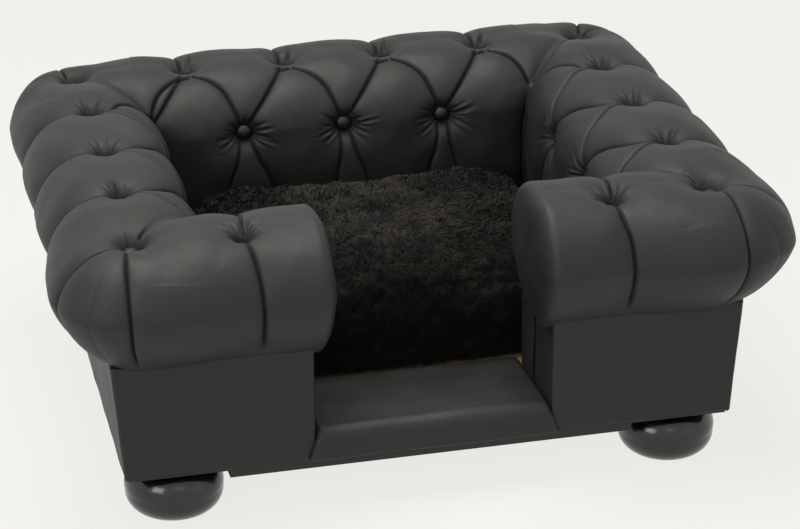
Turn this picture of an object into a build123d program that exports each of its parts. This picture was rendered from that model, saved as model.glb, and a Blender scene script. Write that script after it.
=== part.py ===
from build123d import *
import os
from math import radians, sin, sqrt

os.makedirs("parts", exist_ok=True)

# A small chesterfield for a dog: tufted rolls over a timber frame, a loose cushion, four bun feet.
# All sizes are in millimetres. X runs to the right, Y to the back and Z up from the floor.

# Walls, measured over the outer panels at the crease under the rolls
body_width = 700.0
body_depth = 572.0
crease_height = 195.5
panel_foot_height = 61.0
side_rake = 9.5
end_rake = 2.4
panel_thickness = 4.0
frame_depth = 77.0

# Rolls: the section's outer half, its inner half and what the pleats draw in
roll_overhang = 46.0
roll_half_width = 84.0
roll_inner_half_width = 90.0
roll_centre_height = 267.5
roll_rise = 68.0
pleat_depth = 7.0
inner_pleat_depth = 12.0
lip_inset = 2.0
# How much further out the rolls stand round the two front corners, which are stuffed fuller
corner_fullness = 10.0
# How far, in degrees, a roll is carried round a corner before its mitre cuts it
mitre_sweep = 60

# Padding of the inner faces where it meets the deck, of the back and the arms and of the returns
arm_pad_depth = 118.0
return_pad_depth = 140.0
pad_belly = 5.0

# Tufts
back_pitch = 122.2
arm_bays = 4
return_pleat_x = 201.8
tuft_depth = 26.0
tuft_setout = 10.0
return_tuft_setout = 26.0
inner_tuft_height = 276.5
inner_tuft_depth = 104.0
pit_floor_radius = 10.5
pit_mouth_radius = 27.0
pit_height = 32.0

# Covered buttons
button_radius = 9.5
button_edge = 2.5
button_dome = 5.0
shank_radius = 2.0
shank_length = 10.0
shank_clearance = 0.3

# Entry and sill
entry_half_width = 132.0
roll_end_overhang = 21.0
sill_front_height = 97.0
sill_back_height = 89.5
sill_nose_radius = 14.0
sill_proud = 3.0
sill_flare = 11.6
sill_skirt_height = 61.5

# Timber
foot_height = 58.0
batten_foot_height = 49.5
batten_thickness = 20.0
batten_width = 32.0
board_thickness = 12.0
wall_top_height = 241.5
tack_rail_thickness = 13.0
tack_rail_bottom = 166.5
tack_rail_top = 211.5
corner_block_margin = 1.3

# Foam cores of the rolls
core_half_width = 52.0
core_cover = 3.4

# Feet and their fixings
foot_radius = 54.0
foot_side_inset = 68.4
foot_end_inset = 51.2
foot_belly_height = 26.0
foot_base_radius = 28.0
foot_neck_radius = 36.0
foot_neck_height = 2.5
bolt_radius = 4.0
bolt_depth_in_foot = 30.0
bolt_tip_below_deck = 1.5
bore_clearance = 0.1
tee_nut_radius = 5.2
tee_nut_depth = 10.0
tee_flange_radius = 9.5
tee_flange_thickness = 1.5
recess_clearance = 0.2

# Loose cushion
cushion_side_inset = 130.0
cushion_rear_inset = 130.5
cushion_front_inset = 142.5
cushion_height = 131.0
cushion_corner_radius = 46.0
cushion_draw_in = 7.0
cushion_largest_inset = 105.0
cover_thickness = 8.0

# Dust cover
cloth_thickness = 0.6
cloth_margin = 8.0

# Clearances
gap = 0.3
overrun = 5.0

# Where the rings of a bay stand, and those of the plain bay beside a corner or an end
bay_shares = (0.25, 0.5, 0.75, 1)
end_bay_shares = (0.25, 0.5, 1)
# Stations and sizes of the rings that round off a roll's end
end_station_shares = (0, 0.3, 0.6, 0.85, 1)
end_ring_shares = (1, 0.985, 0.93, 0.82, 0.62)
# Heights and insets of the cushion's rings, of its height and of its largest inset
cushion_height_shares = (0, 0.05, 0.16, 0.4, 0.62, 0.78, 0.9, 0.965, 1)
cushion_inset_shares = (0.2, 0.08, 0.02, 0, 0.03, 0.12, 0.3, 0.56, 1)
# What a cushion ring keeps of its drawn-in sides at the largest inset, and its corners of their room
cushion_draw_share = 0.2
cushion_round_share = 0.8
# Where a pit's flared side bends, of its own radius and height
flare_radius_share = 0.22
flare_height_share = 0.42
# Where the upper and the lower arc of a foot pass
foot_shoulder_radius_share = 0.62
foot_shoulder_height_share = 0.78
foot_heel_radius_share = 0.72
foot_heel_height_share = 0.25

# Sizes that follow
half_width = body_width / 2
half_depth = body_depth / 2
roll_centre = roll_half_width - roll_overhang
batten_top = batten_foot_height + batten_thickness
deck_height = batten_top + board_thickness
side_inset = side_rake + panel_thickness + gap
end_inset = end_rake + panel_thickness + gap
corner_x = half_width - roll_centre
corner_y = half_depth - roll_centre
arm_pitch = 2 * corner_y / arm_bays
rake_share = (crease_height - tack_rail_bottom) / (crease_height - panel_foot_height)
tack_inset = panel_thickness + side_rake * rake_share + gap
post_inset = tack_inset + tack_rail_thickness
inner_board_inset = frame_depth - board_thickness
roll_board_inset = panel_thickness + gap
board_x = half_width - side_inset
board_y = half_depth - end_inset
foot_centre_x = half_width - foot_side_inset
foot_centre_y = half_depth - foot_end_inset
corner_block_size = foot_side_inset + foot_radius + corner_block_margin - side_inset
block_edge_x = board_x - corner_block_size
block_edge_y = board_y - corner_block_size
tuft_floor_height = roll_centre_height + roll_rise - tuft_depth
core_base_height = wall_top_height + gap
core_top_height = tuft_floor_height - shank_length - shank_clearance - core_cover
core_rise = core_top_height - core_base_height
cushion_width = body_width - 2 * cushion_side_inset
cushion_depth = body_depth - cushion_rear_inset - cushion_front_inset
cushion_centre_y = (cushion_front_inset - cushion_rear_inset) / 2
post_top = wall_top_height - board_thickness
frame_end_x = entry_half_width + panel_thickness + gap
diagonal = sin(radians(45))
# The walls are drawn about their own middle. The pieces are then moved back, so that the origin
# is midway between the foremost point of the fuller front corners and the back of the rear roll.
origin_shift = corner_fullness / 2

# A wall's section is drawn with its first axis inward from the outer panel and its second upward.
left_arm_line = Plane(origin=(-half_width, 0, 0), x_dir=(1, 0, 0), z_dir=(0, -1, 0))
back_line = Plane(origin=(0, half_depth, 0), x_dir=(0, -1, 0), z_dir=(-1, 0, 0))
left_front_line = Plane(origin=(0, -half_depth, 0), x_dir=(0, 1, 0), z_dir=(1, 0, 0))

# Mitres of the covers. Each plane's normal points to the run that is kept.
front_left_mitre = Plane(origin=(-corner_x, -corner_y, 0), x_dir=(0, 0, 1), z_dir=(-1, 1, 0))
rear_left_mitre = Plane(origin=(-corner_x, corner_y, 0), x_dir=(0, 0, 1), z_dir=(-1, -1, 0))
front_left_axis = Axis((-corner_x, -corner_y, 0), (0, 0, 1))
rear_left_axis = Axis((-corner_x, corner_y, 0), (0, 0, 1))
rear_right_mitre = Plane(origin=(corner_x, corner_y, 0), x_dir=(0, 0, 1), z_dir=(-1, 1, 0))
rear_right_axis = Axis((corner_x, corner_y, 0), (0, 0, 1))


def keep(piece, name):
    centred = piece.part.moved(Location((0, origin_shift, 0)))
    centred.label = name
    export_step(centred, f"parts/{name}.step")


def timber(x_span, y_span, z_span):
    """A straight board or batten between its faces, added to the open part."""
    with BuildSketch(Plane.XY.offset(z_span[0])) as plan:
        with Locations(((x_span[0] + x_span[1]) / 2, (y_span[0] + y_span[1]) / 2)):
            Rectangle(x_span[1] - x_span[0], y_span[1] - y_span[0])
    extrude(plan.sketch, amount=z_span[1] - z_span[0])


def roll_arcs(start, outer_half, inner_half, rise):
    """The roll from under its lip, round the outside and over the top to its inner side."""
    outer = (roll_centre - outer_half, roll_centre_height)
    top = (roll_centre, roll_centre_height + rise)
    inner = (roll_centre + inner_half, roll_centre_height)
    drop = roll_centre_height - crease_height
    under = (roll_centre - outer_half * diagonal, roll_centre_height - drop * diagonal)
    shoulder = (roll_centre - outer_half * diagonal, roll_centre_height + rise * diagonal)
    inner_shoulder = (roll_centre + inner_half * diagonal, roll_centre_height + rise * diagonal)
    ThreePointArc(start, under, outer)
    ThreePointArc(outer, shoulder, top)
    ThreePointArc(top, inner_shoulder, inner)
    return inner


def wall_section(crest, belly, fullness, pad_depth):
    """One station of a tufted run: crest and belly are full between pleats and drawn at them."""
    lip = (lip_inset, crease_height + gap)
    outer_half = roll_half_width - pleat_depth * (1 - crest) + fullness
    inner_half = roll_inner_half_width - inner_pleat_depth * (1 - belly)
    rise = roll_rise - pleat_depth * (1 - crest)
    inner = roll_arcs(lip, outer_half, inner_half, rise)
    foot = (pad_depth, deck_height + gap)
    waist_in = (inner[0] + foot[0]) / 2 + pad_belly
    ThreePointArc(inner, (waist_in, (inner[1] + foot[1]) / 2), foot)
    Polyline(
        foot,
        (frame_depth + gap, deck_height + gap),
        (frame_depth + gap, crease_height + gap),
        lip,
    )


def corner_section(fullness):
    """The outer half of a full roll, turned about the corner's upright axis."""
    outer = (roll_centre - roll_half_width - fullness, roll_centre_height)
    top = (roll_centre, roll_centre_height + roll_rise)
    lip = (lip_inset, crease_height + gap)
    drop = roll_centre_height - crease_height
    reach = (roll_half_width + fullness) * diagonal
    ThreePointArc(lip, (roll_centre - reach, roll_centre_height - drop * diagonal), outer)
    ThreePointArc(outer, (roll_centre - reach, roll_centre_height + roll_rise * diagonal), top)
    Polyline(top, (roll_centre, crease_height + gap), lip)


def end_ring(share):
    """A closed section of a roll's rounded end, shrunk about the roll's centre."""
    drop = roll_centre_height - crease_height - gap

    def place(sideways, upwards):
        return (roll_centre + sideways * share, roll_centre_height + upwards * share)

    outer, top = place(-roll_half_width, 0), place(0, roll_rise)
    inner, bottom = place(roll_inner_half_width, 0), place(0, -drop)
    ThreePointArc(outer, place(-roll_half_width * diagonal, roll_rise * diagonal), top)
    ThreePointArc(top, place(roll_inner_half_width * diagonal, roll_rise * diagonal), inner)
    ThreePointArc(inner, place(roll_inner_half_width * diagonal, -drop * diagonal), bottom)
    ThreePointArc(bottom, place(-roll_half_width * diagonal, -drop * diagonal), outer)


def core_arch(margin, inner_side):
    """The foam core's outline over the roll board, or only its outer half for a corner."""
    base = core_base_height
    half, rise = core_half_width + margin, core_rise + margin
    top = (roll_centre, base + rise)
    outer = (roll_centre - half, base)
    ThreePointArc(outer, (roll_centre - half * diagonal, base + rise * diagonal), top)
    if inner_side:
        inner = (roll_centre + half, base)
        ThreePointArc(top, (roll_centre + half * diagonal, base + rise * diagonal), inner)
        Line(inner, outer)
    else:
        Polyline(top, (roll_centre, base), outer)


# The pit of a tuft with the bore for its shank, standing on its floor, and the button in it
with BuildPart() as pit:
    with BuildSketch(Plane.XZ):
        with BuildLine():
            floor_edge = (pit_floor_radius, 0)
            mouth_edge = (pit_mouth_radius, pit_height)
            flare = (
                pit_floor_radius + (pit_mouth_radius - pit_floor_radius) * flare_radius_share,
                pit_height * flare_height_share,
            )
            ThreePointArc(floor_edge, flare, mouth_edge)
            bore = shank_radius + shank_clearance
            bore_foot = -shank_length - shank_clearance
            Polyline(mouth_edge, (0, pit_height), (0, bore_foot))
            Polyline((0, bore_foot), (bore, bore_foot), (bore, 0), floor_edge)
        make_face()
    revolve(axis=Axis.Z)

with BuildPart() as button:
    with BuildSketch(Plane.XZ):
        with BuildLine():
            crown = (0, gap + button_edge + button_dome)
            rim = (button_radius, gap + button_edge)
            cap_radius = (button_radius**2 + button_dome**2) / (2 * button_dome)
            cap_drop = cap_radius - sqrt(cap_radius**2 - (button_radius / 2) ** 2)
            ThreePointArc(rim, (button_radius / 2, crown[1] - cap_drop), crown)
            Polyline(
                crown,
                (0, -shank_length),
                (shank_radius, -shank_length),
                (shank_radius, gap),
                (button_radius, gap),
                rim,
            )
        make_face()
    revolve(axis=Axis.Z)


def top_tuft(line, station, setout):
    """Where a top-row tuft stands: its floor is level and its pit opens upward."""
    place = line.from_local_coords(Vector(roll_centre - setout, tuft_floor_height, station))
    return Plane(origin=place, x_dir=(1, 0, 0), z_dir=(0, 0, 1)).location


def inner_tuft(line, station):
    """Where an inner-row tuft stands: its pit opens into the well."""
    place = line.from_local_coords(Vector(inner_tuft_depth, inner_tuft_height, station))
    return Plane(origin=place, x_dir=(0, 0, 1), z_dir=line.x_dir).location


def corner_tuft(x_sign, y_sign):
    place = (
        x_sign * (corner_x + tuft_setout),
        y_sign * (corner_y + tuft_setout),
        tuft_floor_height,
    )
    return Plane(origin=place, x_dir=(1, 0, 0), z_dir=(0, 0, 1)).location


def swell(at, creases, bay):
    """How far a bay stands out: nothing at its creases, and round and full half a bay away."""
    from_crown = 1 - min(1, min(abs(at - crease) for crease in creases) / (bay / 2))
    return sqrt(1 - from_crown**2)


def stuffing(at, front_bay):
    """How much further out a roll stands between its last pleat and a front corner."""
    if front_bay is None:
        return 0
    pleat, corner = front_bay
    return corner_fullness * max(0, (at - pleat) / (corner - pleat))


def rings_of_run(columns, shares_of_bays, pleats, inner_creases, bay, front_bay=None):
    """The stations of a run with the crest, the belly and the fullness of the section at each."""
    places = [columns[0]]
    for first, last, shares in zip(columns, columns[1:], shares_of_bays):
        places += [first + (last - first) * share for share in shares]
    return [
        (at, swell(at, pleats, bay), swell(at, inner_creases, bay), stuffing(at, front_bay))
        for at in places
    ]


first_bay_shares = tuple(1 - share for share in reversed(end_bay_shares[:-1])) + (1,)
back_pleats = [back_pitch * step / 2 for step in (-3, -1, 1, 3)]
back_creases = [back_pitch * step for step in (-1, 0, 1)]
back_rings = rings_of_run(
    [-corner_x, *back_pleats, corner_x],
    [first_bay_shares, *[bay_shares] * (len(back_pleats) - 1), end_bay_shares],
    back_pleats,
    back_creases,
    back_pitch,
)
arm_pleats = [arm_pitch * step for step in (-1, 0, 1)]
arm_creases = [arm_pitch * step / 2 for step in (-1, 1)]
arm_rings = rings_of_run(
    [-corner_y, *arm_pleats, corner_y],
    [first_bay_shares, *[bay_shares] * (len(arm_pleats) - 1), end_bay_shares],
    arm_pleats,
    arm_creases,
    arm_pitch,
    (arm_pleats[-1], corner_y),
)
# A return has one pleat, and its inner face is plain.
return_bay = return_pleat_x - entry_half_width
return_rings = rings_of_run(
    [-corner_x, -return_pleat_x, -entry_half_width],
    [first_bay_shares, end_bay_shares],
    [-return_pleat_x],
    [0],
    return_bay,
    (-return_pleat_x, -corner_x),
)

back_top_tufts = [top_tuft(back_line, at, 0) for at in back_pleats]
back_inner_tufts = [inner_tuft(back_line, at) for at in back_creases]
arm_top_tufts = [top_tuft(left_arm_line, at, tuft_setout) for at in arm_pleats]
arm_inner_tufts = [inner_tuft(left_arm_line, at) for at in arm_creases]
return_tufts = [top_tuft(left_front_line, -return_pleat_x, return_tuft_setout)]
front_left_tuft, rear_left_tuft = corner_tuft(-1, -1), corner_tuft(-1, 1)
rear_right_tuft = corner_tuft(1, 1)


def wall_face(plane, crest, belly, fullness, pad_depth):
    with BuildSketch(plane) as face:
        with BuildLine():
            wall_section(crest, belly, fullness, pad_depth)
        make_face()
    return face.sketch


def corner_face(plane, fullness):
    with BuildSketch(plane) as face:
        with BuildLine():
            corner_section(fullness)
        make_face()
    return face.sketch


def end_face(plane, share):
    with BuildSketch(plane) as face:
        with BuildLine():
            end_ring(share)
        make_face()
    return face.sketch


def core_face(plane, margin, inner_side):
    with BuildSketch(plane) as face:
        with BuildLine():
            core_arch(margin, inner_side)
        make_face()
    return face.sketch


def tufted_run(line, rings, pad_depth):
    """Lofts a run's cover through its rings, in the open part."""
    faces = [wall_face(line.offset(at), *shape, pad_depth) for at, *shape in rings]
    loft(sections=faces, ruled=True)


def round_corner(line, station, axis, turn, fullness=0):
    """Carries a run's roll round the outside of a corner, past the mitre."""
    revolve(profiles=corner_face(line.offset(station), fullness), axis=axis, revolution_arc=turn)


def frame_channel(line, first, last):
    """Cuts the room for the timber wall and its foam core out of a run's cover."""
    with BuildSketch(line.offset(first)) as wall:
        with BuildLine():
            Polyline(
                (panel_thickness, crease_height - overrun),
                (panel_thickness, wall_top_height + gap),
                (frame_depth + gap, wall_top_height + gap),
                (frame_depth + gap, crease_height - overrun),
                close=True,
            )
        make_face()
    extrude(wall.sketch, amount=last - first, mode=Mode.SUBTRACT)


def core_run(line, first, last, margin, mode):
    extrude(core_face(line.offset(first), margin, True), amount=last - first, mode=mode)


def core_corner(line, station, axis, turn, margin, mode):
    profile = core_face(line.offset(station), margin, False)
    revolve(profiles=profile, axis=axis, revolution_arc=turn, mode=mode)


# Tufted covers. Each is lofted along its wall, carried round the corners and mitred there.
with BuildPart() as back_tufted_pad:
    tufted_run(back_line, back_rings, arm_pad_depth)
    round_corner(back_line, corner_x, rear_left_axis, mitre_sweep)
    round_corner(back_line, -corner_x, rear_right_axis, -mitre_sweep)
    split(bisect_by=rear_left_mitre, keep=Keep.BOTTOM)
    split(bisect_by=rear_right_mitre, keep=Keep.TOP)
    frame_channel(back_line, panel_thickness - half_width, half_width - panel_thickness)
    core_run(back_line, -corner_x, corner_x, gap, Mode.SUBTRACT)
    core_corner(back_line, corner_x, rear_left_axis, mitre_sweep, gap, Mode.SUBTRACT)
    core_corner(back_line, -corner_x, rear_right_axis, -mitre_sweep, gap, Mode.SUBTRACT)
    with Locations(*back_top_tufts, *back_inner_tufts, rear_left_tuft, rear_right_tuft):
        add(pit.part, mode=Mode.SUBTRACT)

with BuildPart() as left_arm_tufted_pad:
    tufted_run(left_arm_line, arm_rings, arm_pad_depth)
    round_corner(left_arm_line, corner_y, front_left_axis, mitre_sweep, corner_fullness)
    round_corner(left_arm_line, -corner_y, rear_left_axis, -mitre_sweep)
    split(bisect_by=front_left_mitre, keep=Keep.TOP)
    split(bisect_by=rear_left_mitre, keep=Keep.TOP)
    frame_channel(left_arm_line, panel_thickness - half_depth, half_depth - panel_thickness)
    core_run(left_arm_line, -corner_y, corner_y, gap, Mode.SUBTRACT)
    core_corner(left_arm_line, corner_y, front_left_axis, mitre_sweep, gap, Mode.SUBTRACT)
    core_corner(left_arm_line, -corner_y, rear_left_axis, -mitre_sweep, gap, Mode.SUBTRACT)
    with Locations(*arm_top_tufts, *arm_inner_tufts, front_left_tuft, rear_left_tuft):
        add(pit.part, mode=Mode.SUBTRACT)

with BuildPart() as left_front_tufted_pad:
    tufted_run(left_front_line, return_rings, return_pad_depth)
    loft(
        sections=[
            end_face(left_front_line.offset(roll_end_overhang * along - entry_half_width), size)
            for along, size in zip(end_station_shares, end_ring_shares)
        ],
        ruled=True,
    )
    round_corner(left_front_line, -corner_x, front_left_axis, -mitre_sweep, corner_fullness)
    split(bisect_by=front_left_mitre, keep=Keep.BOTTOM)
    frame_channel(left_front_line, panel_thickness - half_width, gap - frame_end_x)
    core_run(left_front_line, -corner_x, gap - frame_end_x, gap, Mode.SUBTRACT)
    core_corner(left_front_line, -corner_x, front_left_axis, -mitre_sweep, gap, Mode.SUBTRACT)
    with Locations(*return_tufts, front_left_tuft):
        add(pit.part, mode=Mode.SUBTRACT)

with BuildPart() as right_arm_tufted_pad:
    add(mirror(left_arm_tufted_pad.part, about=Plane.YZ))

with BuildPart() as right_front_tufted_pad:
    add(mirror(left_front_tufted_pad.part, about=Plane.YZ))

keep(back_tufted_pad, "back_tufted_pad")
keep(left_arm_tufted_pad, "left_arm_tufted_pad")
keep(right_arm_tufted_pad, "right_arm_tufted_pad")
keep(left_front_tufted_pad, "left_front_tufted_pad")
keep(right_front_tufted_pad, "right_front_tufted_pad")

# Foam cores of the rolls, mitred like the covers that they fill
with BuildPart() as back_roll_core:
    core_run(back_line, -corner_x, corner_x, 0, Mode.ADD)
    core_corner(back_line, corner_x, rear_left_axis, mitre_sweep, 0, Mode.ADD)
    core_corner(back_line, -corner_x, rear_right_axis, -mitre_sweep, 0, Mode.ADD)
    split(bisect_by=rear_left_mitre, keep=Keep.BOTTOM)
    split(bisect_by=rear_right_mitre, keep=Keep.TOP)

with BuildPart() as left_arm_roll_core:
    core_run(left_arm_line, -corner_y, corner_y, 0, Mode.ADD)
    core_corner(left_arm_line, corner_y, front_left_axis, mitre_sweep, 0, Mode.ADD)
    core_corner(left_arm_line, -corner_y, rear_left_axis, -mitre_sweep, 0, Mode.ADD)
    split(bisect_by=front_left_mitre, keep=Keep.TOP)
    split(bisect_by=rear_left_mitre, keep=Keep.TOP)

with BuildPart() as left_front_roll_core:
    core_run(left_front_line, -corner_x, -frame_end_x, 0, Mode.ADD)
    core_corner(left_front_line, -corner_x, front_left_axis, -mitre_sweep, 0, Mode.ADD)
    split(bisect_by=front_left_mitre, keep=Keep.BOTTOM)

with BuildPart() as right_arm_roll_core:
    add(mirror(left_arm_roll_core.part, about=Plane.YZ))

with BuildPart() as right_front_roll_core:
    add(mirror(left_front_roll_core.part, about=Plane.YZ))

keep(back_roll_core, "back_roll_core")
keep(left_arm_roll_core, "left_arm_roll_core")
keep(right_arm_roll_core, "right_arm_roll_core")
keep(left_front_roll_core, "left_front_roll_core")
keep(right_front_roll_core, "right_front_roll_core")


# Covered buttons, each sunk in its pit with the shank in the bore under it
def buttons_at(places, name):
    with BuildPart() as buttons:
        with Locations(*places):
            add(button.part)
    keep(buttons, name)
    return buttons


buttons_at(back_top_tufts, "back_top_buttons")
buttons_at(back_inner_tufts, "back_inner_buttons")
left_arm_top_buttons = buttons_at(arm_top_tufts, "left_arm_top_buttons")
left_arm_inner_buttons = buttons_at(arm_inner_tufts, "left_arm_inner_buttons")
left_front_top_button = buttons_at(return_tufts, "left_front_top_button")
corner_tufts = [corner_tuft(x_sign, y_sign) for x_sign in (-1, 1) for y_sign in (-1, 1)]
buttons_at(corner_tufts, "corner_buttons")

with BuildPart() as right_arm_top_buttons:
    add(mirror(left_arm_top_buttons.part, about=Plane.YZ))

with BuildPart() as right_arm_inner_buttons:
    add(mirror(left_arm_inner_buttons.part, about=Plane.YZ))

with BuildPart() as right_front_top_button:
    add(mirror(left_front_top_button.part, about=Plane.YZ))

keep(right_arm_top_buttons, "right_arm_top_buttons")
keep(right_arm_inner_buttons, "right_arm_inner_buttons")
keep(right_front_top_button, "right_front_top_button")

# Outer panels: one leaning ring of covered board, cut where the end walls lap the side walls
with BuildPart() as panel_ring:
    for inset, mode in ((0, Mode.ADD), (panel_thickness, Mode.SUBTRACT)):
        with BuildSketch(Plane.XY.offset(panel_foot_height)):
            Rectangle(body_width - 2 * (side_rake + inset), body_depth - 2 * (end_rake + inset))
        with BuildSketch(Plane.XY.offset(crease_height)):
            Rectangle(body_width - 2 * inset, body_depth - 2 * inset)
        loft(ruled=True, mode=mode)

panel_height = crease_height - panel_foot_height
front_lap = Plane(
    origin=(0, panel_thickness - half_depth, crease_height),
    x_dir=(1, 0, 0),
    z_dir=(0, -panel_height, -end_rake),
)
rear_lap = Plane(
    origin=(0, half_depth - panel_thickness, crease_height),
    x_dir=(1, 0, 0),
    z_dir=(0, panel_height, -end_rake),
)
entry_side = Plane(origin=(-entry_half_width, 0, 0), x_dir=(0, 1, 0), z_dir=(-1, 0, 0))

with BuildPart() as outer_back_panel:
    add(panel_ring.part)
    split(bisect_by=rear_lap, keep=Keep.TOP)

with BuildPart() as left_front_panel:
    add(panel_ring.part)
    split(bisect_by=front_lap, keep=Keep.TOP)
    split(bisect_by=entry_side, keep=Keep.TOP)

with BuildPart() as outer_left_panel:
    add(panel_ring.part)
    split(bisect_by=front_lap, keep=Keep.BOTTOM)
    split(bisect_by=rear_lap, keep=Keep.BOTTOM)
    split(bisect_by=entry_side, keep=Keep.TOP)

with BuildPart() as outer_right_panel:
    add(mirror(outer_left_panel.part, about=Plane.YZ))

with BuildPart() as right_front_panel:
    add(mirror(left_front_panel.part, about=Plane.YZ))

keep(outer_back_panel, "outer_back_panel")
keep(outer_left_panel, "outer_left_panel")
keep(outer_right_panel, "outer_right_panel")
keep(left_front_panel, "left_front_panel")
keep(right_front_panel, "right_front_panel")

# End panels of the returns, facing the entry
with BuildPart() as left_entry_panel:
    timber(
        (-entry_half_width - panel_thickness, -entry_half_width),
        (end_inset - half_depth, frame_depth - half_depth),
        (deck_height + gap, crease_height),
    )

with BuildPart() as right_entry_panel:
    add(mirror(left_entry_panel.part, about=Plane.YZ))

keep(left_entry_panel, "left_entry_panel")
keep(right_entry_panel, "right_entry_panel")

# Base: a plywood deck on four blocks for the feet, and battens that hang lower between the feet
block_hole_radius = tee_nut_radius + recess_clearance
batten_heights = (batten_foot_height, batten_top)
with BuildPart() as base_board:
    timber((-board_x, board_x), (-board_y, board_y), (batten_top, deck_height))

with BuildPart() as front_batten:
    timber((-block_edge_x, block_edge_x), (-board_y, batten_width - board_y), batten_heights)

with BuildPart() as rear_batten:
    timber((-block_edge_x, block_edge_x), (board_y - batten_width, board_y), batten_heights)

with BuildPart() as left_batten:
    timber((-board_x, batten_width - board_x), (-block_edge_y, block_edge_y), batten_heights)

with BuildPart() as right_batten:
    add(mirror(left_batten.part, about=Plane.YZ))

with BuildPart() as front_left_block:
    timber((-board_x, -block_edge_x), (-board_y, -block_edge_y), (foot_height, batten_top))
    with Locations((-foot_centre_x, -foot_centre_y, batten_top)):
        recess_radius = tee_flange_radius + recess_clearance
        CounterBoreHole(block_hole_radius, recess_radius, tee_flange_thickness + recess_clearance)


def at_four_corners(piece, name):
    """The same small piece at the other three corners too, as one node of four solids."""
    with BuildPart() as group:
        add(piece)
        add(mirror(piece, about=Plane.YZ))
        add(mirror(piece, about=Plane.XZ))
        add(mirror(mirror(piece, about=Plane.XZ), about=Plane.YZ))
    keep(group, name)


at_four_corners(front_left_block.part, "corner_blocks")
keep(base_board, "base_board")
keep(front_batten, "front_batten")
keep(rear_batten, "rear_batten")
keep(left_batten, "left_batten")
keep(right_batten, "right_batten")

# Walls: posts, inner boards that the padding bears on, and roll boards over both
inner_span = (frame_depth - half_depth, half_depth - frame_depth)
with BuildPart() as back_inner_board:
    timber(
        (inner_board_inset - half_width, half_width - inner_board_inset),
        (half_depth - frame_depth, half_depth - inner_board_inset),
        (deck_height, post_top),
    )

with BuildPart() as left_arm_inner_board:
    timber(
        (inner_board_inset - half_width, frame_depth - half_width),
        inner_span,
        (deck_height, post_top),
    )

with BuildPart() as left_front_inner_board:
    timber(
        (inner_board_inset - half_width, -frame_end_x),
        (inner_board_inset - half_depth, frame_depth - half_depth),
        (deck_height, post_top),
    )

with BuildPart() as back_roll_board:
    timber(
        (roll_board_inset - half_width, half_width - roll_board_inset),
        (half_depth - frame_depth, half_depth - roll_board_inset),
        (post_top, wall_top_height),
    )

with BuildPart() as left_arm_roll_board:
    timber(
        (roll_board_inset - half_width, frame_depth - half_width),
        inner_span,
        (post_top, wall_top_height),
    )

with BuildPart() as left_front_roll_board:
    timber(
        (roll_board_inset - half_width, -frame_end_x),
        (roll_board_inset - half_depth, frame_depth - half_depth),
        (post_top, wall_top_height),
    )

with BuildPart() as right_arm_inner_board:
    add(mirror(left_arm_inner_board.part, about=Plane.YZ))

with BuildPart() as right_front_inner_board:
    add(mirror(left_front_inner_board.part, about=Plane.YZ))

with BuildPart() as right_arm_roll_board:
    add(mirror(left_arm_roll_board.part, about=Plane.YZ))

with BuildPart() as right_front_roll_board:
    add(mirror(left_front_roll_board.part, about=Plane.YZ))

keep(back_inner_board, "back_inner_board")
keep(left_arm_inner_board, "left_arm_inner_board")
keep(right_arm_inner_board, "right_arm_inner_board")
keep(left_front_inner_board, "left_front_inner_board")
keep(right_front_inner_board, "right_front_inner_board")
keep(back_roll_board, "back_roll_board")
keep(left_arm_roll_board, "left_arm_roll_board")
keep(right_arm_roll_board, "right_arm_roll_board")
keep(left_front_roll_board, "left_front_roll_board")
keep(right_front_roll_board, "right_front_roll_board")

post_span = inner_board_inset - post_inset
with BuildPart() as front_left_post:
    timber(
        (post_inset - half_width, inner_board_inset - half_width),
        (post_inset - half_depth, inner_board_inset - half_depth),
        (deck_height, post_top),
    )

at_four_corners(front_left_post.part, "corner_posts")

with BuildPart() as left_entry_post:
    timber(
        (-frame_end_x - post_span, -frame_end_x),
        (post_inset - half_depth, inner_board_inset - half_depth),
        (deck_height, post_top),
    )

with BuildPart() as entry_posts:
    add(left_entry_post.part)
    add(mirror(left_entry_post.part, about=Plane.YZ))

keep(entry_posts, "entry_posts")

# Tacking rails on the posts' outer faces, where the covers and the panels are stapled
rail_heights = (tack_rail_bottom, tack_rail_top)
front_rail_span = (tack_inset - half_depth, post_inset - half_depth)
with BuildPart() as back_tack_rail:
    timber(
        (tack_inset - half_width, half_width - tack_inset),
        (half_depth - post_inset, half_depth - tack_inset),
        rail_heights,
    )

with BuildPart() as left_arm_tack_rail:
    timber(
        (tack_inset - half_width, post_inset - half_width),
        (post_inset - half_depth, half_depth - post_inset),
        rail_heights,
    )

with BuildPart() as left_front_tack_rail:
    timber((tack_inset - half_width, -frame_end_x), front_rail_span, rail_heights)

with BuildPart() as arm_tack_rails:
    add(left_arm_tack_rail.part)
    add(mirror(left_arm_tack_rail.part, about=Plane.YZ))

with BuildPart() as front_tack_rails:
    add(left_front_tack_rail.part)
    add(mirror(left_front_tack_rail.part, about=Plane.YZ))

keep(back_tack_rail, "back_tack_rail")
keep(arm_tack_rails, "arm_tack_rails")
keep(front_tack_rails, "front_tack_rails")

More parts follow.
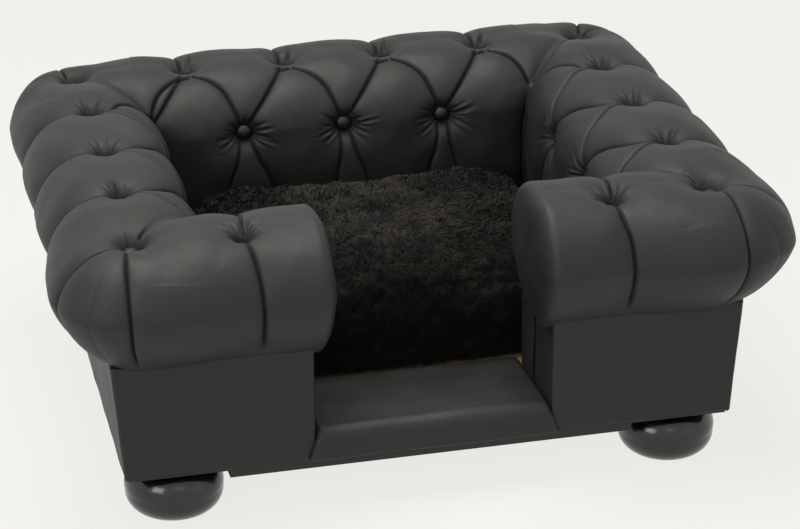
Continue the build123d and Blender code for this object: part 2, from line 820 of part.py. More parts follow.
# Sill: a padded cover over the front of the deck, wrapped down it and flared over the returns
sill_half_width = entry_half_width - gap
nose_height = sill_front_height - sill_nose_radius
flap_slope = sill_flare / (sill_front_height - sill_skirt_height)
flap_rise = nose_height - sill_skirt_height
flap_foot = sill_half_width + sill_flare
flap_lean = end_rake * (crease_height - sill_front_height) / panel_height
with BuildPart() as sill_pad:
    with BuildSketch(left_front_line.offset(-sill_half_width)):
        with BuildLine():
            nose_start = (-sill_proud, nose_height)
            nose_end = (sill_nose_radius - sill_proud, sill_front_height)
            nose_reach = sill_nose_radius * (1 - diagonal)
            ThreePointArc(nose_start, (nose_reach - sill_proud, sill_front_height - nose_reach), nose_end)
            Polyline(
                nose_end,
                (return_pad_depth, sill_back_height),
                (return_pad_depth, deck_height + gap),
                (end_inset, deck_height + gap),
                (end_inset, sill_skirt_height),
                (-sill_proud, sill_skirt_height),
                nose_start,
            )
        make_face()
    extrude(amount=2 * sill_half_width)
    sill_face = Plane(origin=(0, -half_depth - sill_proud, 0), x_dir=(1, 0, 0), z_dir=(0, -1, 0))
    with BuildSketch(sill_face):
        with BuildLine():
            Polyline(
                (-flap_foot, sill_skirt_height),
                (flap_foot, sill_skirt_height),
                (flap_foot - flap_slope * flap_rise, nose_height),
                (flap_slope * flap_rise - flap_foot, nose_height),
                close=True,
            )
        make_face()
    extrude(amount=-(sill_proud + flap_lean - gap))

keep(sill_pad, "sill_pad")

# Turned bun feet, each with a blind hole for its bolt
with BuildPart() as foot:
    with BuildSketch(Plane.XZ):
        with BuildLine():
            heel = (
                foot_base_radius + (foot_radius - foot_base_radius) * foot_heel_radius_share,
                foot_belly_height * foot_heel_height_share,
            )
            neck_foot = foot_height - foot_neck_height
            shoulder = (
                foot_neck_radius + (foot_radius - foot_neck_radius) * foot_shoulder_radius_share,
                foot_belly_height + (neck_foot - foot_belly_height) * foot_shoulder_height_share,
            )
            belly = (foot_radius, foot_belly_height)
            hole_radius = bolt_radius + bore_clearance
            ThreePointArc((foot_base_radius, 0), heel, belly)
            ThreePointArc(belly, shoulder, (foot_neck_radius, neck_foot))
            Polyline(
                (foot_neck_radius, neck_foot),
                (foot_neck_radius, foot_height),
                (hole_radius, foot_height),
                (hole_radius, foot_height - bolt_depth_in_foot),
                (0, foot_height - bolt_depth_in_foot),
                (0, 0),
                (foot_base_radius, 0),
            )
        make_face()
    revolve(axis=Axis.Z)

for foot_name, x_sign, y_sign in (
    ("front_left_foot", -1, -1),
    ("front_right_foot", 1, -1),
    ("rear_left_foot", -1, 1),
    ("rear_right_foot", 1, 1),
):
    with BuildPart() as placed_foot:
        with Locations((x_sign * foot_centre_x, y_sign * foot_centre_y, 0)):
            add(foot.part)
    keep(placed_foot, foot_name)

# Hanger bolts and the tee nuts that they screw into
bolt_foot_height = foot_height - bolt_depth_in_foot
with BuildPart() as hanger_bolt:
    with BuildSketch(Plane.XY.offset(bolt_foot_height)):
        with Locations((-foot_centre_x, -foot_centre_y)):
            Circle(bolt_radius)
    extrude(amount=batten_top - bolt_tip_below_deck - bolt_foot_height)

with BuildPart() as tee_nut:
    with BuildSketch(Plane.XY.offset(batten_top)):
        with Locations((-foot_centre_x, -foot_centre_y)):
            Circle(tee_flange_radius)
    extrude(amount=-tee_flange_thickness)
    with BuildSketch(Plane.XY.offset(batten_top)):
        with Locations((-foot_centre_x, -foot_centre_y)):
            Circle(tee_nut_radius)
    extrude(amount=-tee_nut_depth)
    with Locations((-foot_centre_x, -foot_centre_y, batten_top)):
        Hole(bolt_radius + bore_clearance)

at_four_corners(hanger_bolt.part, "hanger_bolts")
at_four_corners(tee_nut.part, "tee_nuts")

# Dust cover, stapled under the battens and cut away at the feet
with BuildPart() as dust_cover:
    with BuildSketch(Plane.XY.offset(batten_foot_height - cloth_thickness)):
        Rectangle(2 * (board_x - cloth_margin), 2 * block_edge_y)
        Rectangle(2 * block_edge_x, 2 * (board_y - cloth_margin))
    extrude(amount=cloth_thickness)

keep(dust_cover, "dust_cover")


# Loose cushion: a cover and its filling, crowned, with sides that draw in between the corners
def cushion_ring(level, inset_share, margin):
    inset = margin + cushion_largest_inset * inset_share
    half_x, half_y = cushion_width / 2 - inset, cushion_depth / 2 - inset
    turn = min(cushion_corner_radius, half_y * cushion_round_share)
    draw = cushion_draw_in * (1 - (1 - cushion_draw_share) * inset_share)
    bite = turn * (1 - diagonal)
    side_x, side_y = half_x - turn, half_y - turn
    with BuildSketch(Plane(origin=(0, cushion_centre_y, level))) as ring:
        with BuildLine():
            for x_sign, y_sign in ((-1, -1), (1, 1)):
                before, after = (-x_sign * side_x, y_sign * half_y), (x_sign * side_x, y_sign * half_y)
                ThreePointArc(before, (0, y_sign * (half_y - draw)), after)
            for x_sign in (-1, 1):
                low, high = (x_sign * half_x, -side_y), (x_sign * half_x, side_y)
                ThreePointArc(low, (x_sign * (half_x - draw), 0), high)
                for y_sign in (-1, 1):
                    on_end, on_side = (x_sign * side_x, y_sign * half_y), (x_sign * half_x, y_sign * side_y)
                    corner = (x_sign * (half_x - bite), y_sign * (half_y - bite))
                    ThreePointArc(on_end, corner, on_side)
        make_face()
    return ring.sketch


def cushion_form(margin, mode):
    foot = deck_height + gap + margin
    height = cushion_height - 2 * margin
    shares = zip(cushion_height_shares, cushion_inset_shares)
    rings = [cushion_ring(foot + height * up, inward, margin) for up, inward in shares]
    loft(sections=rings, ruled=True, mode=mode)


with BuildPart() as cushion_cover:
    cushion_form(0, Mode.ADD)
    cushion_form(cover_thickness, Mode.SUBTRACT)

with BuildPart() as cushion_filling:
    cushion_form(cover_thickness + gap, Mode.ADD)

keep(cushion_cover, "cushion_cover")
keep(cushion_filling, "cushion_filling")
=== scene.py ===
import math

import bmesh
import bpy
import numpy as np
from bpy.props import FloatProperty, FloatVectorProperty, IntProperty, PointerProperty
from mathutils import Matrix, Vector, noise


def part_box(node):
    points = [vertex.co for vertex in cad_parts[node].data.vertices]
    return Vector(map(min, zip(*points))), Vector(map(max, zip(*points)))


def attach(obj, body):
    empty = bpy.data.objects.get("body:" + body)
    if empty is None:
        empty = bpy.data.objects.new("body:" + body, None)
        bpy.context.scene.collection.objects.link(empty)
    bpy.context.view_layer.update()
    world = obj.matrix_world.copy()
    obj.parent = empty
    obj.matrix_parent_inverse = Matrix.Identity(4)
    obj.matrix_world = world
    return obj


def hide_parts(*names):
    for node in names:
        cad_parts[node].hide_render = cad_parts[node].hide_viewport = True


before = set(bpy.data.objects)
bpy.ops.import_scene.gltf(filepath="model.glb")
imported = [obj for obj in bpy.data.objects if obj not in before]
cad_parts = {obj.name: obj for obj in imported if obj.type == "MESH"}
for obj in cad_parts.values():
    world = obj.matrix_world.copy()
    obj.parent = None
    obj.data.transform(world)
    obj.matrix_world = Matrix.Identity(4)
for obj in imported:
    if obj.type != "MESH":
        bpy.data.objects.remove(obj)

bl_info = {
    "name": "Chesterfield Dog Bed",
    "version": (1, 0, 0),
    "blender": (4, 5, 0),
    "location": "View3D > Sidebar > Dog Bed",
    "description": "Dresses the frame of a small chesterfield dog bed: tufted rolls, panels, fur cushion, feet",
    "category": "Object",
}

MM = 0.001

# The walls, in millimetres, as the frame has them: u runs inward from the outer panel, z is up.
# The walls' own middle lies behind the frame's origin, because the front corners are stuffed fuller.
WALL_MIDDLE = 5.0
BODY_HALF_WIDTH = 350.0
BODY_HALF_DEPTH = 286.0
CREASE_HEIGHT = 195.8
LIP_INSET = 2.0
ROLL_CENTRE = 38.0
ROLL_CENTRE_HEIGHT = 267.5
ROLL_OUTER_HALF = 84.0
ROLL_INNER_HALF = 90.0
ROLL_RISE = 68.0
CORNER_FULLNESS = 10.0
RIGHT_FULLNESS = 7.0
PAD_DEPTH = 118.0
RETURN_PAD_DEPTH = 140.0
PAD_BELLY = 5.0
DECK_HEIGHT = 81.8
CORNER_X = BODY_HALF_WIDTH - ROLL_CENTRE
CORNER_Y = BODY_HALF_DEPTH - ROLL_CENTRE
ENTRY_HALF_WIDTH = 132.0
ROLL_END_OVERHANG = 21.0
PANEL_FOOT = 61.0
SIDE_RAKE = 9.5
END_RAKE = 2.4
BOARD_LINE = 77.0
CORE_FOOT = 241.8
CORE_RISE = 54.0
CORE_HALF = 52.0
FLOOR_REACH, FLOOR_LEVEL = 30000.0, -0.2
CLOTH_LEVEL = 49.2
CLOTH_DROP = 2.6
# The dust cover is cut away at the feet, beyond these distances from its middle
CLOTH_CUT_X, CLOTH_CUT_Y = 226.3, 169.4
SLOPE = math.sqrt(0.5)

# The lip of a roll's cover, tucked in under the crease
TUCK_IN, TUCK_UP = 7.5, 7.0
# Stations out to which a run's mesh columns stand square to it. Beyond them they turn to meet the mitre.
LONG_STRAIGHT = 205.0
ARM_STRAIGHT = 145.0

PANEL_THICKNESS = 4.5
PANEL_SPACING = 4.0
PANEL_EDGE = 3.2
SILL_FOOT, SILL_CROWN, SILL_REAR, SILL_NOSE = 61.5, 97.0, 89.5, 14.0
SILL_GAP, SILL_FLARE = 0.3, 11.6
BUTTON_RADIUS, BUTTON_HEIGHT = 9.6, 6.4
BUTTON_SINK, TOP_BUTTON_SINK = 17.5, 25.0
FOOT_SOLE, FOOT_BELLY, FOOT_NECK = 28.0, 54.0, 36.0
FOOT_BELLY_HEIGHT, FOOT_NECK_HEIGHT = 26.0, 55.5
RETURN_TUFT = 201.8
BACK_END_TUFT = 183.3


def linear(code):
    """An sRGB hex colour as the linear values that shaders take."""
    values = [int(code[i:i + 2], 16) / 255 for i in (1, 3, 5)]
    return tuple(v / 12.92 if v <= 0.04045 else ((v + 0.055) / 1.055) ** 2.4 for v in values) + (1.0,)


def add_node(tree, kind, settings=None, links=None, **inputs):
    """Adds one shader node, sets it, and links the named inputs from other nodes' sockets."""
    node = tree.nodes.new("ShaderNode" + kind)
    for key, value in (settings or {}).items():
        setattr(node, key, value)
    for key, value in inputs.items():
        node.inputs[int(key[1:]) if key[0] == "_" else key.replace("_", " ")].default_value = value
    for key, socket in (links or {}).items():
        tree.links.new(socket, node.inputs[key])
    return node


def new_material(name):
    """An empty material, its node tree and the socket of the place on the piece."""
    material = bpy.data.materials.new(name)
    material.use_nodes = True
    tree = material.node_tree
    tree.nodes.clear()
    return material, tree, add_node(tree, "TexCoord").outputs["Object"]


def size_of(name, description, default):
    return FloatProperty(name=name, description=description, default=default, min=0.0, unit="LENGTH")


def colour_of(name, description, code):
    return FloatVectorProperty(name=name, description=description, subtype="COLOR", size=4, default=linear(code),
                               min=0.0, max=1.0)


# Sizes and colours that a user would change
class UpholsterySettings(bpy.types.PropertyGroup):
    tuft_depth: size_of("Tuft depth", "How far a button draws the cover in", 0.030)
    tuft_spread: size_of("Tuft spread", "Radius over which the cover dips into a tuft", 0.027)
    tuft_throat: size_of("Tuft throat", "Radius of the narrow mouth of a tuft", 0.0095)
    valley_depth: size_of("Valley depth", "How far the padding sinks along a pleat", 0.0075)
    valley_spread: size_of("Valley spread", "Width of the dip beside a pleat", 0.015)
    pleat_depth: size_of("Pleat depth", "Depth of the folded line itself", 0.0042)
    pleat_width: size_of("Pleat width", "Width of the folded line itself", 0.0015)
    gather_depth: size_of("Gather depth", "Depth of the small gathers that run out of a tuft", 0.0032)
    cover_spacing: size_of("Cover spacing", "Distance between the cover's mesh points", 0.0014)
    leather_colour: colour_of("Leather colour", "Colour of the faux leather", "#1f1f1d")


class FurSettings(bpy.types.PropertyGroup):
    pile_length: size_of("Pile length", "Length of the fur's hairs", 0.0072)
    hair_count: IntProperty(name="Hairs", description="How many locks of hair are laid", default=130000, min=1)
    fur_colour: colour_of("Fur colour", "Colour of the fur", "#070708")


class StageSettings(bpy.types.PropertyGroup):
    lens: FloatProperty(name="Lens", description="Focal length of the camera", default=122.4, unit="CAMERA")
    camera_place: FloatVectorProperty(
        name="Camera place", description="Where the camera stands", subtype="TRANSLATION", unit="LENGTH",
        default=(-0.6323, -2.8215, 1.4825))
    camera_turn: FloatVectorProperty(
        name="Camera turn", description="Turn to the right, tilt down and roll of the camera",
        subtype="EULER", unit="ROTATION",
        default=(math.radians(13.16), math.radians(24.66), math.radians(-0.38)))
    floor_colour: colour_of("Floor colour", "Colour of the paper that the bed stands on", "#f6f4f1")


# Materials. Each is named for the real finish.
def embossed_faux_leather(name, colour, roughness=0.56):
    """Polyurethane-coated faux leather with an embossed pebble: dark, matte, with a broad soft sheen."""
    material, tree, place = new_material(name)
    # The real pebble is about 0.7 mm across. It is drawn at 2 mm, so that it shows.
    pebble = add_node(tree, "TexVoronoi", {"feature": "SMOOTH_F1"}, {"Vector": place},
                      Scale=1 / 0.002, Smoothness=0.5)
    crease = add_node(tree, "TexNoise", {}, {"Vector": place}, Scale=1 / 0.006, Detail=4.0, Roughness=0.6)
    height = add_node(tree, "Math", {"operation": "MULTIPLY_ADD"},
                      {0: crease.outputs["Fac"], 2: pebble.outputs["Distance"]}, _1=0.9)
    bump = add_node(tree, "Bump", {}, {"Height": height.outputs[0]}, Strength=0.34, Distance=0.0005)
    # Slight cloudiness of the coating, about a hand's breadth across
    cloud = add_node(tree, "TexNoise", {}, {"Vector": place}, Scale=1 / 0.05, Detail=3.0, Roughness=0.55)
    tone = add_node(tree, "MapRange", {}, {"Value": cloud.outputs["Fac"]},
                    From_Min=0.3, From_Max=0.7, To_Min=0.8, To_Max=1.12)
    # Painted shade: the colour darkens along the folded lines of pleats, in tuft throats and gathers and along the
    # sill's edges, and the coating is dulled there
    fold_shade = add_node(tree, "Attribute", {"attribute_name": "fold_shade"})
    shade = add_node(tree, "MapRange", {}, {"Value": fold_shade.outputs["Fac"]},
                     From_Min=0.0, From_Max=1.0, To_Min=1.0, To_Max=0.05)
    product = add_node(tree, "Math", {"operation": "MULTIPLY"},
                       {0: tone.outputs["Result"], 1: shade.outputs["Result"]})
    tint = add_node(tree, "Mix", {"data_type": "RGBA", "blend_type": "MULTIPLY"},
                    {7: product.outputs[0]}, _0=1.0, _6=colour)
    gloss = add_node(tree, "MapRange", {}, {"Value": cloud.outputs["Fac"]},
                     From_Min=0.3, From_Max=0.7, To_Min=roughness - 0.05, To_Max=roughness + 0.06)
    dull = add_node(tree, "Math", {"operation": "MULTIPLY_ADD", "use_clamp": True},
                    {0: fold_shade.outputs["Fac"], 2: gloss.outputs["Result"]}, _1=0.5)
    shader = add_node(tree, "BsdfPrincipled", {},
                      {"Base Color": tint.outputs[2], "Roughness": dull.outputs[0],
                       "Normal": bump.outputs["Normal"]},
                      IOR=1.45)
    add_node(tree, "OutputMaterial", {}, {"Surface": shader.outputs["BSDF"]})
    return material


def pile_fibre(name, colour, pale):
    """Acrylic faux-fur pile: soft near-black fibres, paler and brownish where the nap is brushed up in random
    patches, and paler on faces that look up, which is painted top light.
    """
    material, tree, place = new_material(name)
    # Each fibre is 0.05 mm thick. The streaks stand for locks of them, 2 mm apart.
    fine = add_node(tree, "TexNoise", {}, {"Vector": place}, Scale=1 / 0.002, Detail=3.0, Roughness=0.7)
    # The attribute holds the random brushed patches times a painted top light, so faces that look up are paler
    bloom_and_top_light = add_node(tree, "Attribute", {"attribute_name": "bloom_and_top_light"})
    streak = add_node(tree, "MapRange", {}, {"Value": fine.outputs["Fac"]},
                      From_Min=0.3, From_Max=0.7, To_Min=0.86, To_Max=1.1)
    share = add_node(tree, "Math", {"operation": "MULTIPLY", "use_clamp": True},
                     {0: bloom_and_top_light.outputs["Fac"], 1: streak.outputs["Result"]})
    tint = add_node(tree, "Mix", {"data_type": "RGBA"}, {0: share.outputs[0]}, _6=colour, _7=pale)
    shader = add_node(tree, "BsdfPrincipled", {}, {"Base Color": tint.outputs[2]},
                      Roughness=0.9, IOR=1.35, Sheen_Weight=0.05, Sheen_Roughness=0.5)
    add_node(tree, "OutputMaterial", {}, {"Surface": shader.outputs["BSDF"]})
    return material


def black_lacquer(name):
    """Turned beech under several coats of black lacquer: deep, smooth, with slight orange peel."""
    material, tree, place = new_material(name)
    peel = add_node(tree, "TexNoise", {}, {"Vector": place}, Scale=1 / 0.004, Detail=2.0)
    bump = add_node(tree, "Bump", {}, {"Height": peel.outputs["Fac"]}, Strength=0.12, Distance=0.0002)
    dust = add_node(tree, "TexNoise", {}, {"Vector": place}, Scale=1 / 0.03, Detail=5.0, Roughness=0.7)
    rough = add_node(tree, "MapRange", {}, {"Value": dust.outputs["Fac"]},
                     From_Min=0.35, From_Max=0.7, To_Min=0.16, To_Max=0.3)
    tint = add_node(tree, "Mix", {"data_type": "RGBA"}, {0: dust.outputs["Fac"]},
                    _6=linear("#060606"), _7=linear("#121211"))
    shader = add_node(tree, "BsdfPrincipled", {},
                      {"Base Color": tint.outputs[2], "Roughness": rough.outputs["Result"],
                       "Normal": bump.outputs["Normal"]},
                      IOR=1.5, Coat_Weight=0.25, Coat_Roughness=0.08)
    add_node(tree, "OutputMaterial", {}, {"Surface": shader.outputs["BSDF"]})
    return material


def sawn_timber(name, light, dark, grain_width, roughness=0.62):
    """Planed softwood or birch plywood: streaks along the board, from growth rings a few millimetres apart."""
    material, tree, place = new_material(name)
    stretch = add_node(tree, "Mapping", {}, {"Vector": place}, Scale=(0.12, 0.5, 1.0))
    rings = add_node(tree, "TexNoise", {}, {"Vector": stretch.outputs["Vector"]},
                     Scale=1 / grain_width, Detail=6.0, Roughness=0.65, Distortion=0.4)
    share = add_node(tree, "MapRange", {}, {"Value": rings.outputs["Fac"]}, From_Min=0.35, From_Max=0.65)
    tint = add_node(tree, "Mix", {"data_type": "RGBA"}, {0: share.outputs["Result"]}, _6=light, _7=dark)
    bump = add_node(tree, "Bump", {}, {"Height": rings.outputs["Fac"]}, Strength=0.25, Distance=0.0004)
    shader = add_node(tree, "BsdfPrincipled", {},
                      {"Base Color": tint.outputs[2], "Normal": bump.outputs["Normal"]},
                      Roughness=roughness, IOR=1.5)
    add_node(tree, "OutputMaterial", {}, {"Surface": shader.outputs["BSDF"]})
    return material


def upholstery_foam(name):
    """Cut polyurethane foam: pale, matt, with open cells under a millimetre across."""
    material, tree, place = new_material(name)
    cells = add_node(tree, "TexVoronoi", {}, {"Vector": place}, Scale=1 / 0.0015)
    tint = add_node(tree, "Mix", {"data_type": "RGBA"}, {0: cells.outputs["Distance"]},
                    _6=linear("#d9cfa8"), _7=linear("#efe8cc"))
    bump = add_node(tree, "Bump", {}, {"Height": cells.outputs["Distance"]}, Strength=0.5, Distance=0.0008)
    shader = add_node(tree, "BsdfPrincipled", {},
                      {"Base Color": tint.outputs[2], "Normal": bump.outputs["Normal"]}, Roughness=0.9, IOR=1.45)
    add_node(tree, "OutputMaterial", {}, {"Surface": shader.outputs["BSDF"]})
    return material


def spunbond_cloth(name, light, dark):
    """Spunbonded polypropylene: flat fibres pressed in a grid of small dots about 2 mm apart."""
    material, tree, place = new_material(name)
    dots = add_node(tree, "TexVoronoi", {}, {"Vector": place}, Scale=1 / 0.002, Randomness=0.1)
    fibre = add_node(tree, "TexNoise", {}, {"Vector": place}, Scale=1 / 0.0012, Detail=5.0, Roughness=0.8)
    tint = add_node(tree, "Mix", {"data_type": "RGBA"}, {0: fibre.outputs["Fac"]}, _6=dark, _7=light)
    bump = add_node(tree, "Bump", {}, {"Height": dots.outputs["Distance"]}, Strength=0.6, Distance=0.0005)
    shader = add_node(tree, "BsdfPrincipled", {},
                      {"Base Color": tint.outputs[2], "Normal": bump.outputs["Normal"]}, Roughness=0.85, IOR=1.5)
    add_node(tree, "OutputMaterial", {}, {"Surface": shader.outputs["BSDF"]})
    return material


def zinc_plated_steel(name):
    """Bright zinc plate on steel: pale, slightly blue, with faint blotches from the bath."""
    material, tree, place = new_material(name)
    blotch = add_node(tree, "TexNoise", {}, {"Vector": place}, Scale=1 / 0.003, Detail=4.0)
    tint = add_node(tree, "Mix", {"data_type": "RGBA"}, {0: blotch.outputs["Fac"]},
                    _6=linear("#a8abad"), _7=linear("#c9cbc8"))
    rough = add_node(tree, "MapRange", {}, {"Value": blotch.outputs["Fac"]}, To_Min=0.25, To_Max=0.45)
    shader = add_node(tree, "BsdfPrincipled", {},
                      {"Base Color": tint.outputs[2], "Roughness": rough.outputs["Result"]}, Metallic=1.0)
    add_node(tree, "OutputMaterial", {}, {"Surface": shader.outputs["BSDF"]})
    return material


def shared_material(name, make, *values):
    return bpy.data.materials.get(name) or make(name, *values)


def cover_leather():
    colour = tuple(bpy.context.scene.upholstery.leather_colour)
    return shared_material("embossed_faux_leather", embossed_faux_leather, colour)


# Curves and surfaces of the upholstery, in millimetres
def arc_through(first, middle, last, count):
    (ax, ay), (bx, by), (cx, cy) = first, middle, last
    d = 2 * (ax * (by - cy) + bx * (cy - ay) + cx * (ay - by))
    ox = ((ax**2 + ay**2) * (by - cy) + (bx**2 + by**2) * (cy - ay) + (cx**2 + cy**2) * (ay - by)) / d
    oy = ((ax**2 + ay**2) * (cx - bx) + (bx**2 + by**2) * (ax - cx) + (cx**2 + cy**2) * (bx - ax)) / d
    radius = math.hypot(ax - ox, ay - oy)
    start, mid, end = (math.atan2(y - oy, x - ox) for x, y in (first, middle, last))
    turn = 2 * math.pi
    if (mid - start) % turn < (end - start) % turn:
        sweep = (end - start) % turn
    else:
        sweep = -((start - end) % turn)
    angles = start + np.linspace(0, sweep, count)
    return np.stack([ox + radius * np.cos(angles), oy + radius * np.sin(angles)], -1)


def smoothed(values, reach):
    """A running mean that keeps the two ends in place."""
    kernel = np.hanning(2 * reach + 1)
    kernel /= kernel.sum()
    ends = np.concatenate([2 * values[0] - values[reach:0:-1], values, 2 * values[-1] - values[-2:-reach - 2:-1]])
    return np.convolve(ends, kernel, "valid")


class Section:
    """The roll and the inner face of a wall. Its coordinate is the girth from the roll's crown, inward positive."""

    def __init__(self, pad_depth):
        drop = ROLL_CENTRE_HEIGHT - CREASE_HEIGHT
        lip = (LIP_INSET, CREASE_HEIGHT)
        outer = (ROLL_CENTRE - ROLL_OUTER_HALF, ROLL_CENTRE_HEIGHT)
        crown = (ROLL_CENTRE, ROLL_CENTRE_HEIGHT + ROLL_RISE)
        inner = (ROLL_CENTRE + ROLL_INNER_HALF, ROLL_CENTRE_HEIGHT)
        foot = (pad_depth, DECK_HEIGHT)
        under = (ROLL_CENTRE - ROLL_OUTER_HALF * SLOPE, ROLL_CENTRE_HEIGHT - drop * SLOPE)
        shoulder = (ROLL_CENTRE - ROLL_OUTER_HALF * SLOPE, ROLL_CENTRE_HEIGHT + ROLL_RISE * SLOPE)
        inner_shoulder = (ROLL_CENTRE + ROLL_INNER_HALF * SLOPE, ROLL_CENTRE_HEIGHT + ROLL_RISE * SLOPE)
        waist = ((inner[0] + foot[0]) / 2 + PAD_BELLY, (inner[1] + foot[1]) / 2)
        parts = [arc_through(lip, under, outer, 60), arc_through(outer, shoulder, crown, 90),
                 arc_through(crown, inner_shoulder, inner, 90), arc_through(inner, waist, foot, 120)]
        tuck = np.linspace((LIP_INSET + TUCK_IN, CREASE_HEIGHT - TUCK_UP), lip, 10)
        tuck_length = math.hypot(TUCK_IN, TUCK_UP)
        points = np.concatenate([tuck] + [part[1:] for part in parts])
        steps = np.concatenate([[0], np.cumsum(np.hypot(*np.diff(points, axis=0).T))])
        even = np.arange(0, steps[-1], 1.0)
        u = smoothed(np.interp(even, steps, points[:, 0]), 5)
        z = smoothed(np.interp(even, steps, points[:, 1]), 5)
        self.girth = even - even[np.argmax(z)]
        self.u, self.z = u, z
        tangent_u, tangent_z = np.gradient(u), np.gradient(z)
        size = np.hypot(tangent_u, tangent_z)
        self.normal_u, self.normal_z = -tangent_z / size, tangent_u / size
        self.start, self.lip, self.foot = self.girth[0], self.girth[0] + tuck_length, self.girth[-1]
        inner_side = self.girth > 0
        self.side = float(np.interp(-ROLL_CENTRE_HEIGHT, -self.z[inner_side], self.girth[inner_side]))

    def at(self, girth):
        return [np.interp(girth, self.girth, values) for values in (self.u, self.z, self.normal_u, self.normal_z)]


ARM_SECTION = Section(PAD_DEPTH)
RETURN_SECTION = Section(RETURN_PAD_DEPTH)


class CoreSection(Section):
    """The outline of a roll's foam core, from the middle of its flat base round over the top and back."""

    def __init__(self):
        top = (ROLL_CENTRE, CORE_FOOT + CORE_RISE)
        outer, inner = (ROLL_CENTRE - CORE_HALF, CORE_FOOT), (ROLL_CENTRE + CORE_HALF, CORE_FOOT)
        high = CORE_FOOT + CORE_RISE * SLOPE
        points = np.concatenate([
            np.linspace((ROLL_CENTRE, CORE_FOOT), outer, 14),
            arc_through(outer, (ROLL_CENTRE - CORE_HALF * SLOPE, high), top, 30)[1:],
            arc_through(top, (ROLL_CENTRE + CORE_HALF * SLOPE, high), inner, 30)[1:],
            np.linspace(inner, (ROLL_CENTRE, CORE_FOOT), 14)[1:]])
        self.girth = np.concatenate([[0], np.cumsum(np.hypot(*np.diff(points, axis=0).T))])
        self.u, self.z = points.T
        tangent_u, tangent_z = np.gradient(self.u), np.gradient(self.z)
        size = np.hypot(tangent_u, tangent_z)
        self.normal_u, self.normal_z = -tangent_z / size, tangent_u / size


class Wall:
    """A straight wall between two corners, seen in plan: where it starts, inward, along, and half its length."""

    def __init__(self, origin, inward, along, half, section, fuller=()):
        """Fuller lists where the roll starts to swell, where it is fullest, and by how much."""
        self.origin, self.inward, self.along = (np.array(v, float) for v in (origin, inward, along))
        self.half, self.section, self.fuller = half, section, fuller

    def surface(self, station, girth):
        """Places and outward normals on the cover. Past a corner, the roll's outer half turns round it."""
        station, girth = np.broadcast_arrays(np.asarray(station, float), np.asarray(girth, float))
        u, z, normal_u, normal_z = self.section.at(girth)
        outward = np.clip((ROLL_CENTRE - u) / ROLL_OUTER_HALF, 0, 1)
        for pleat, corner, amount in self.fuller:
            share = np.clip((station - pleat) / (corner - pleat), 0, 1)
            u = u - amount * share * share * (3 - 2 * share) * outward
        past = np.maximum(np.abs(station) - self.half, 0)
        room = np.maximum(ROLL_CENTRE - u, 0)
        turning = room > 0.5
        angle = np.where(turning, np.minimum(past / np.maximum(room, 0.5), math.pi / 2), 0)
        straight = np.where(turning, np.minimum(np.abs(station), self.half), np.abs(station)) * np.sign(station)
        side = np.sign(station)
        reach = np.where(turning, -room * np.cos(angle), u - ROLL_CENTRE)
        swing = np.where(turning, room * np.sin(angle), 0) * side
        flat = (self.origin + self.inward * (ROLL_CENTRE + reach)[..., None]
                + self.along * (straight + swing)[..., None])
        inward_now = self.inward * np.cos(angle)[..., None] - self.along * (np.sin(angle) * side)[..., None]
        place = np.concatenate([flat, z[..., None]], -1)
        normal = np.concatenate([inward_now * normal_u[..., None], normal_z[..., None]], -1)
        return place, normal


# The front corners are stuffed fuller, and so is the whole right arm
FRONT_CORNER = (-CORNER_Y / 2, -CORNER_Y, CORNER_FULLNESS)
BACK = Wall((0, WALL_MIDDLE + BODY_HALF_DEPTH), (0, -1), (1, 0), CORNER_X, ARM_SECTION,
            ((BACK_END_TUFT, CORNER_X, RIGHT_FULLNESS),))
LEFT = Wall((-BODY_HALF_WIDTH, WALL_MIDDLE), (1, 0), (0, 1), CORNER_Y, ARM_SECTION, (FRONT_CORNER,))
RIGHT = Wall((BODY_HALF_WIDTH, WALL_MIDDLE), (-1, 0), (0, 1), CORNER_Y, ARM_SECTION,
             (FRONT_CORNER, (2000, 1000, RIGHT_FULLNESS)))
FRONT = Wall((0, WALL_MIDDLE - BODY_HALF_DEPTH), (0, 1), (1, 0), CORNER_X, RETURN_SECTION,
             ((-RETURN_TUFT, -CORNER_X, CORNER_FULLNESS),
              (RETURN_TUFT, CORNER_X, CORNER_FULLNESS + RIGHT_FULLNESS)))
FRONT_LINE = WALL_MIDDLE - BODY_HALF_DEPTH


def smooth_path(points, count=28):
    """A smooth line through a few points of (station, girth)."""
    points = np.array(points, float)
    if len(points) == 2:
        return points[0] + (points[1] - points[0]) * np.linspace(0, 1, count)[:, None]
    knots = np.concatenate([[2 * points[0] - points[1]], points, [2 * points[-1] - points[-2]]])
    out = []
    for at in np.linspace(0, len(points) - 1, count):
        i = min(int(at), len(points) - 2)
        t = at - i
        a, b, c, d = knots[i:i + 4]
        out.append(0.5 * (2 * b + (c - a) * t + (2 * a - 5 * b + 4 * c - d) * t**2
                          + (3 * b - a - 3 * c + d) * t**3))
    return np.array(out)


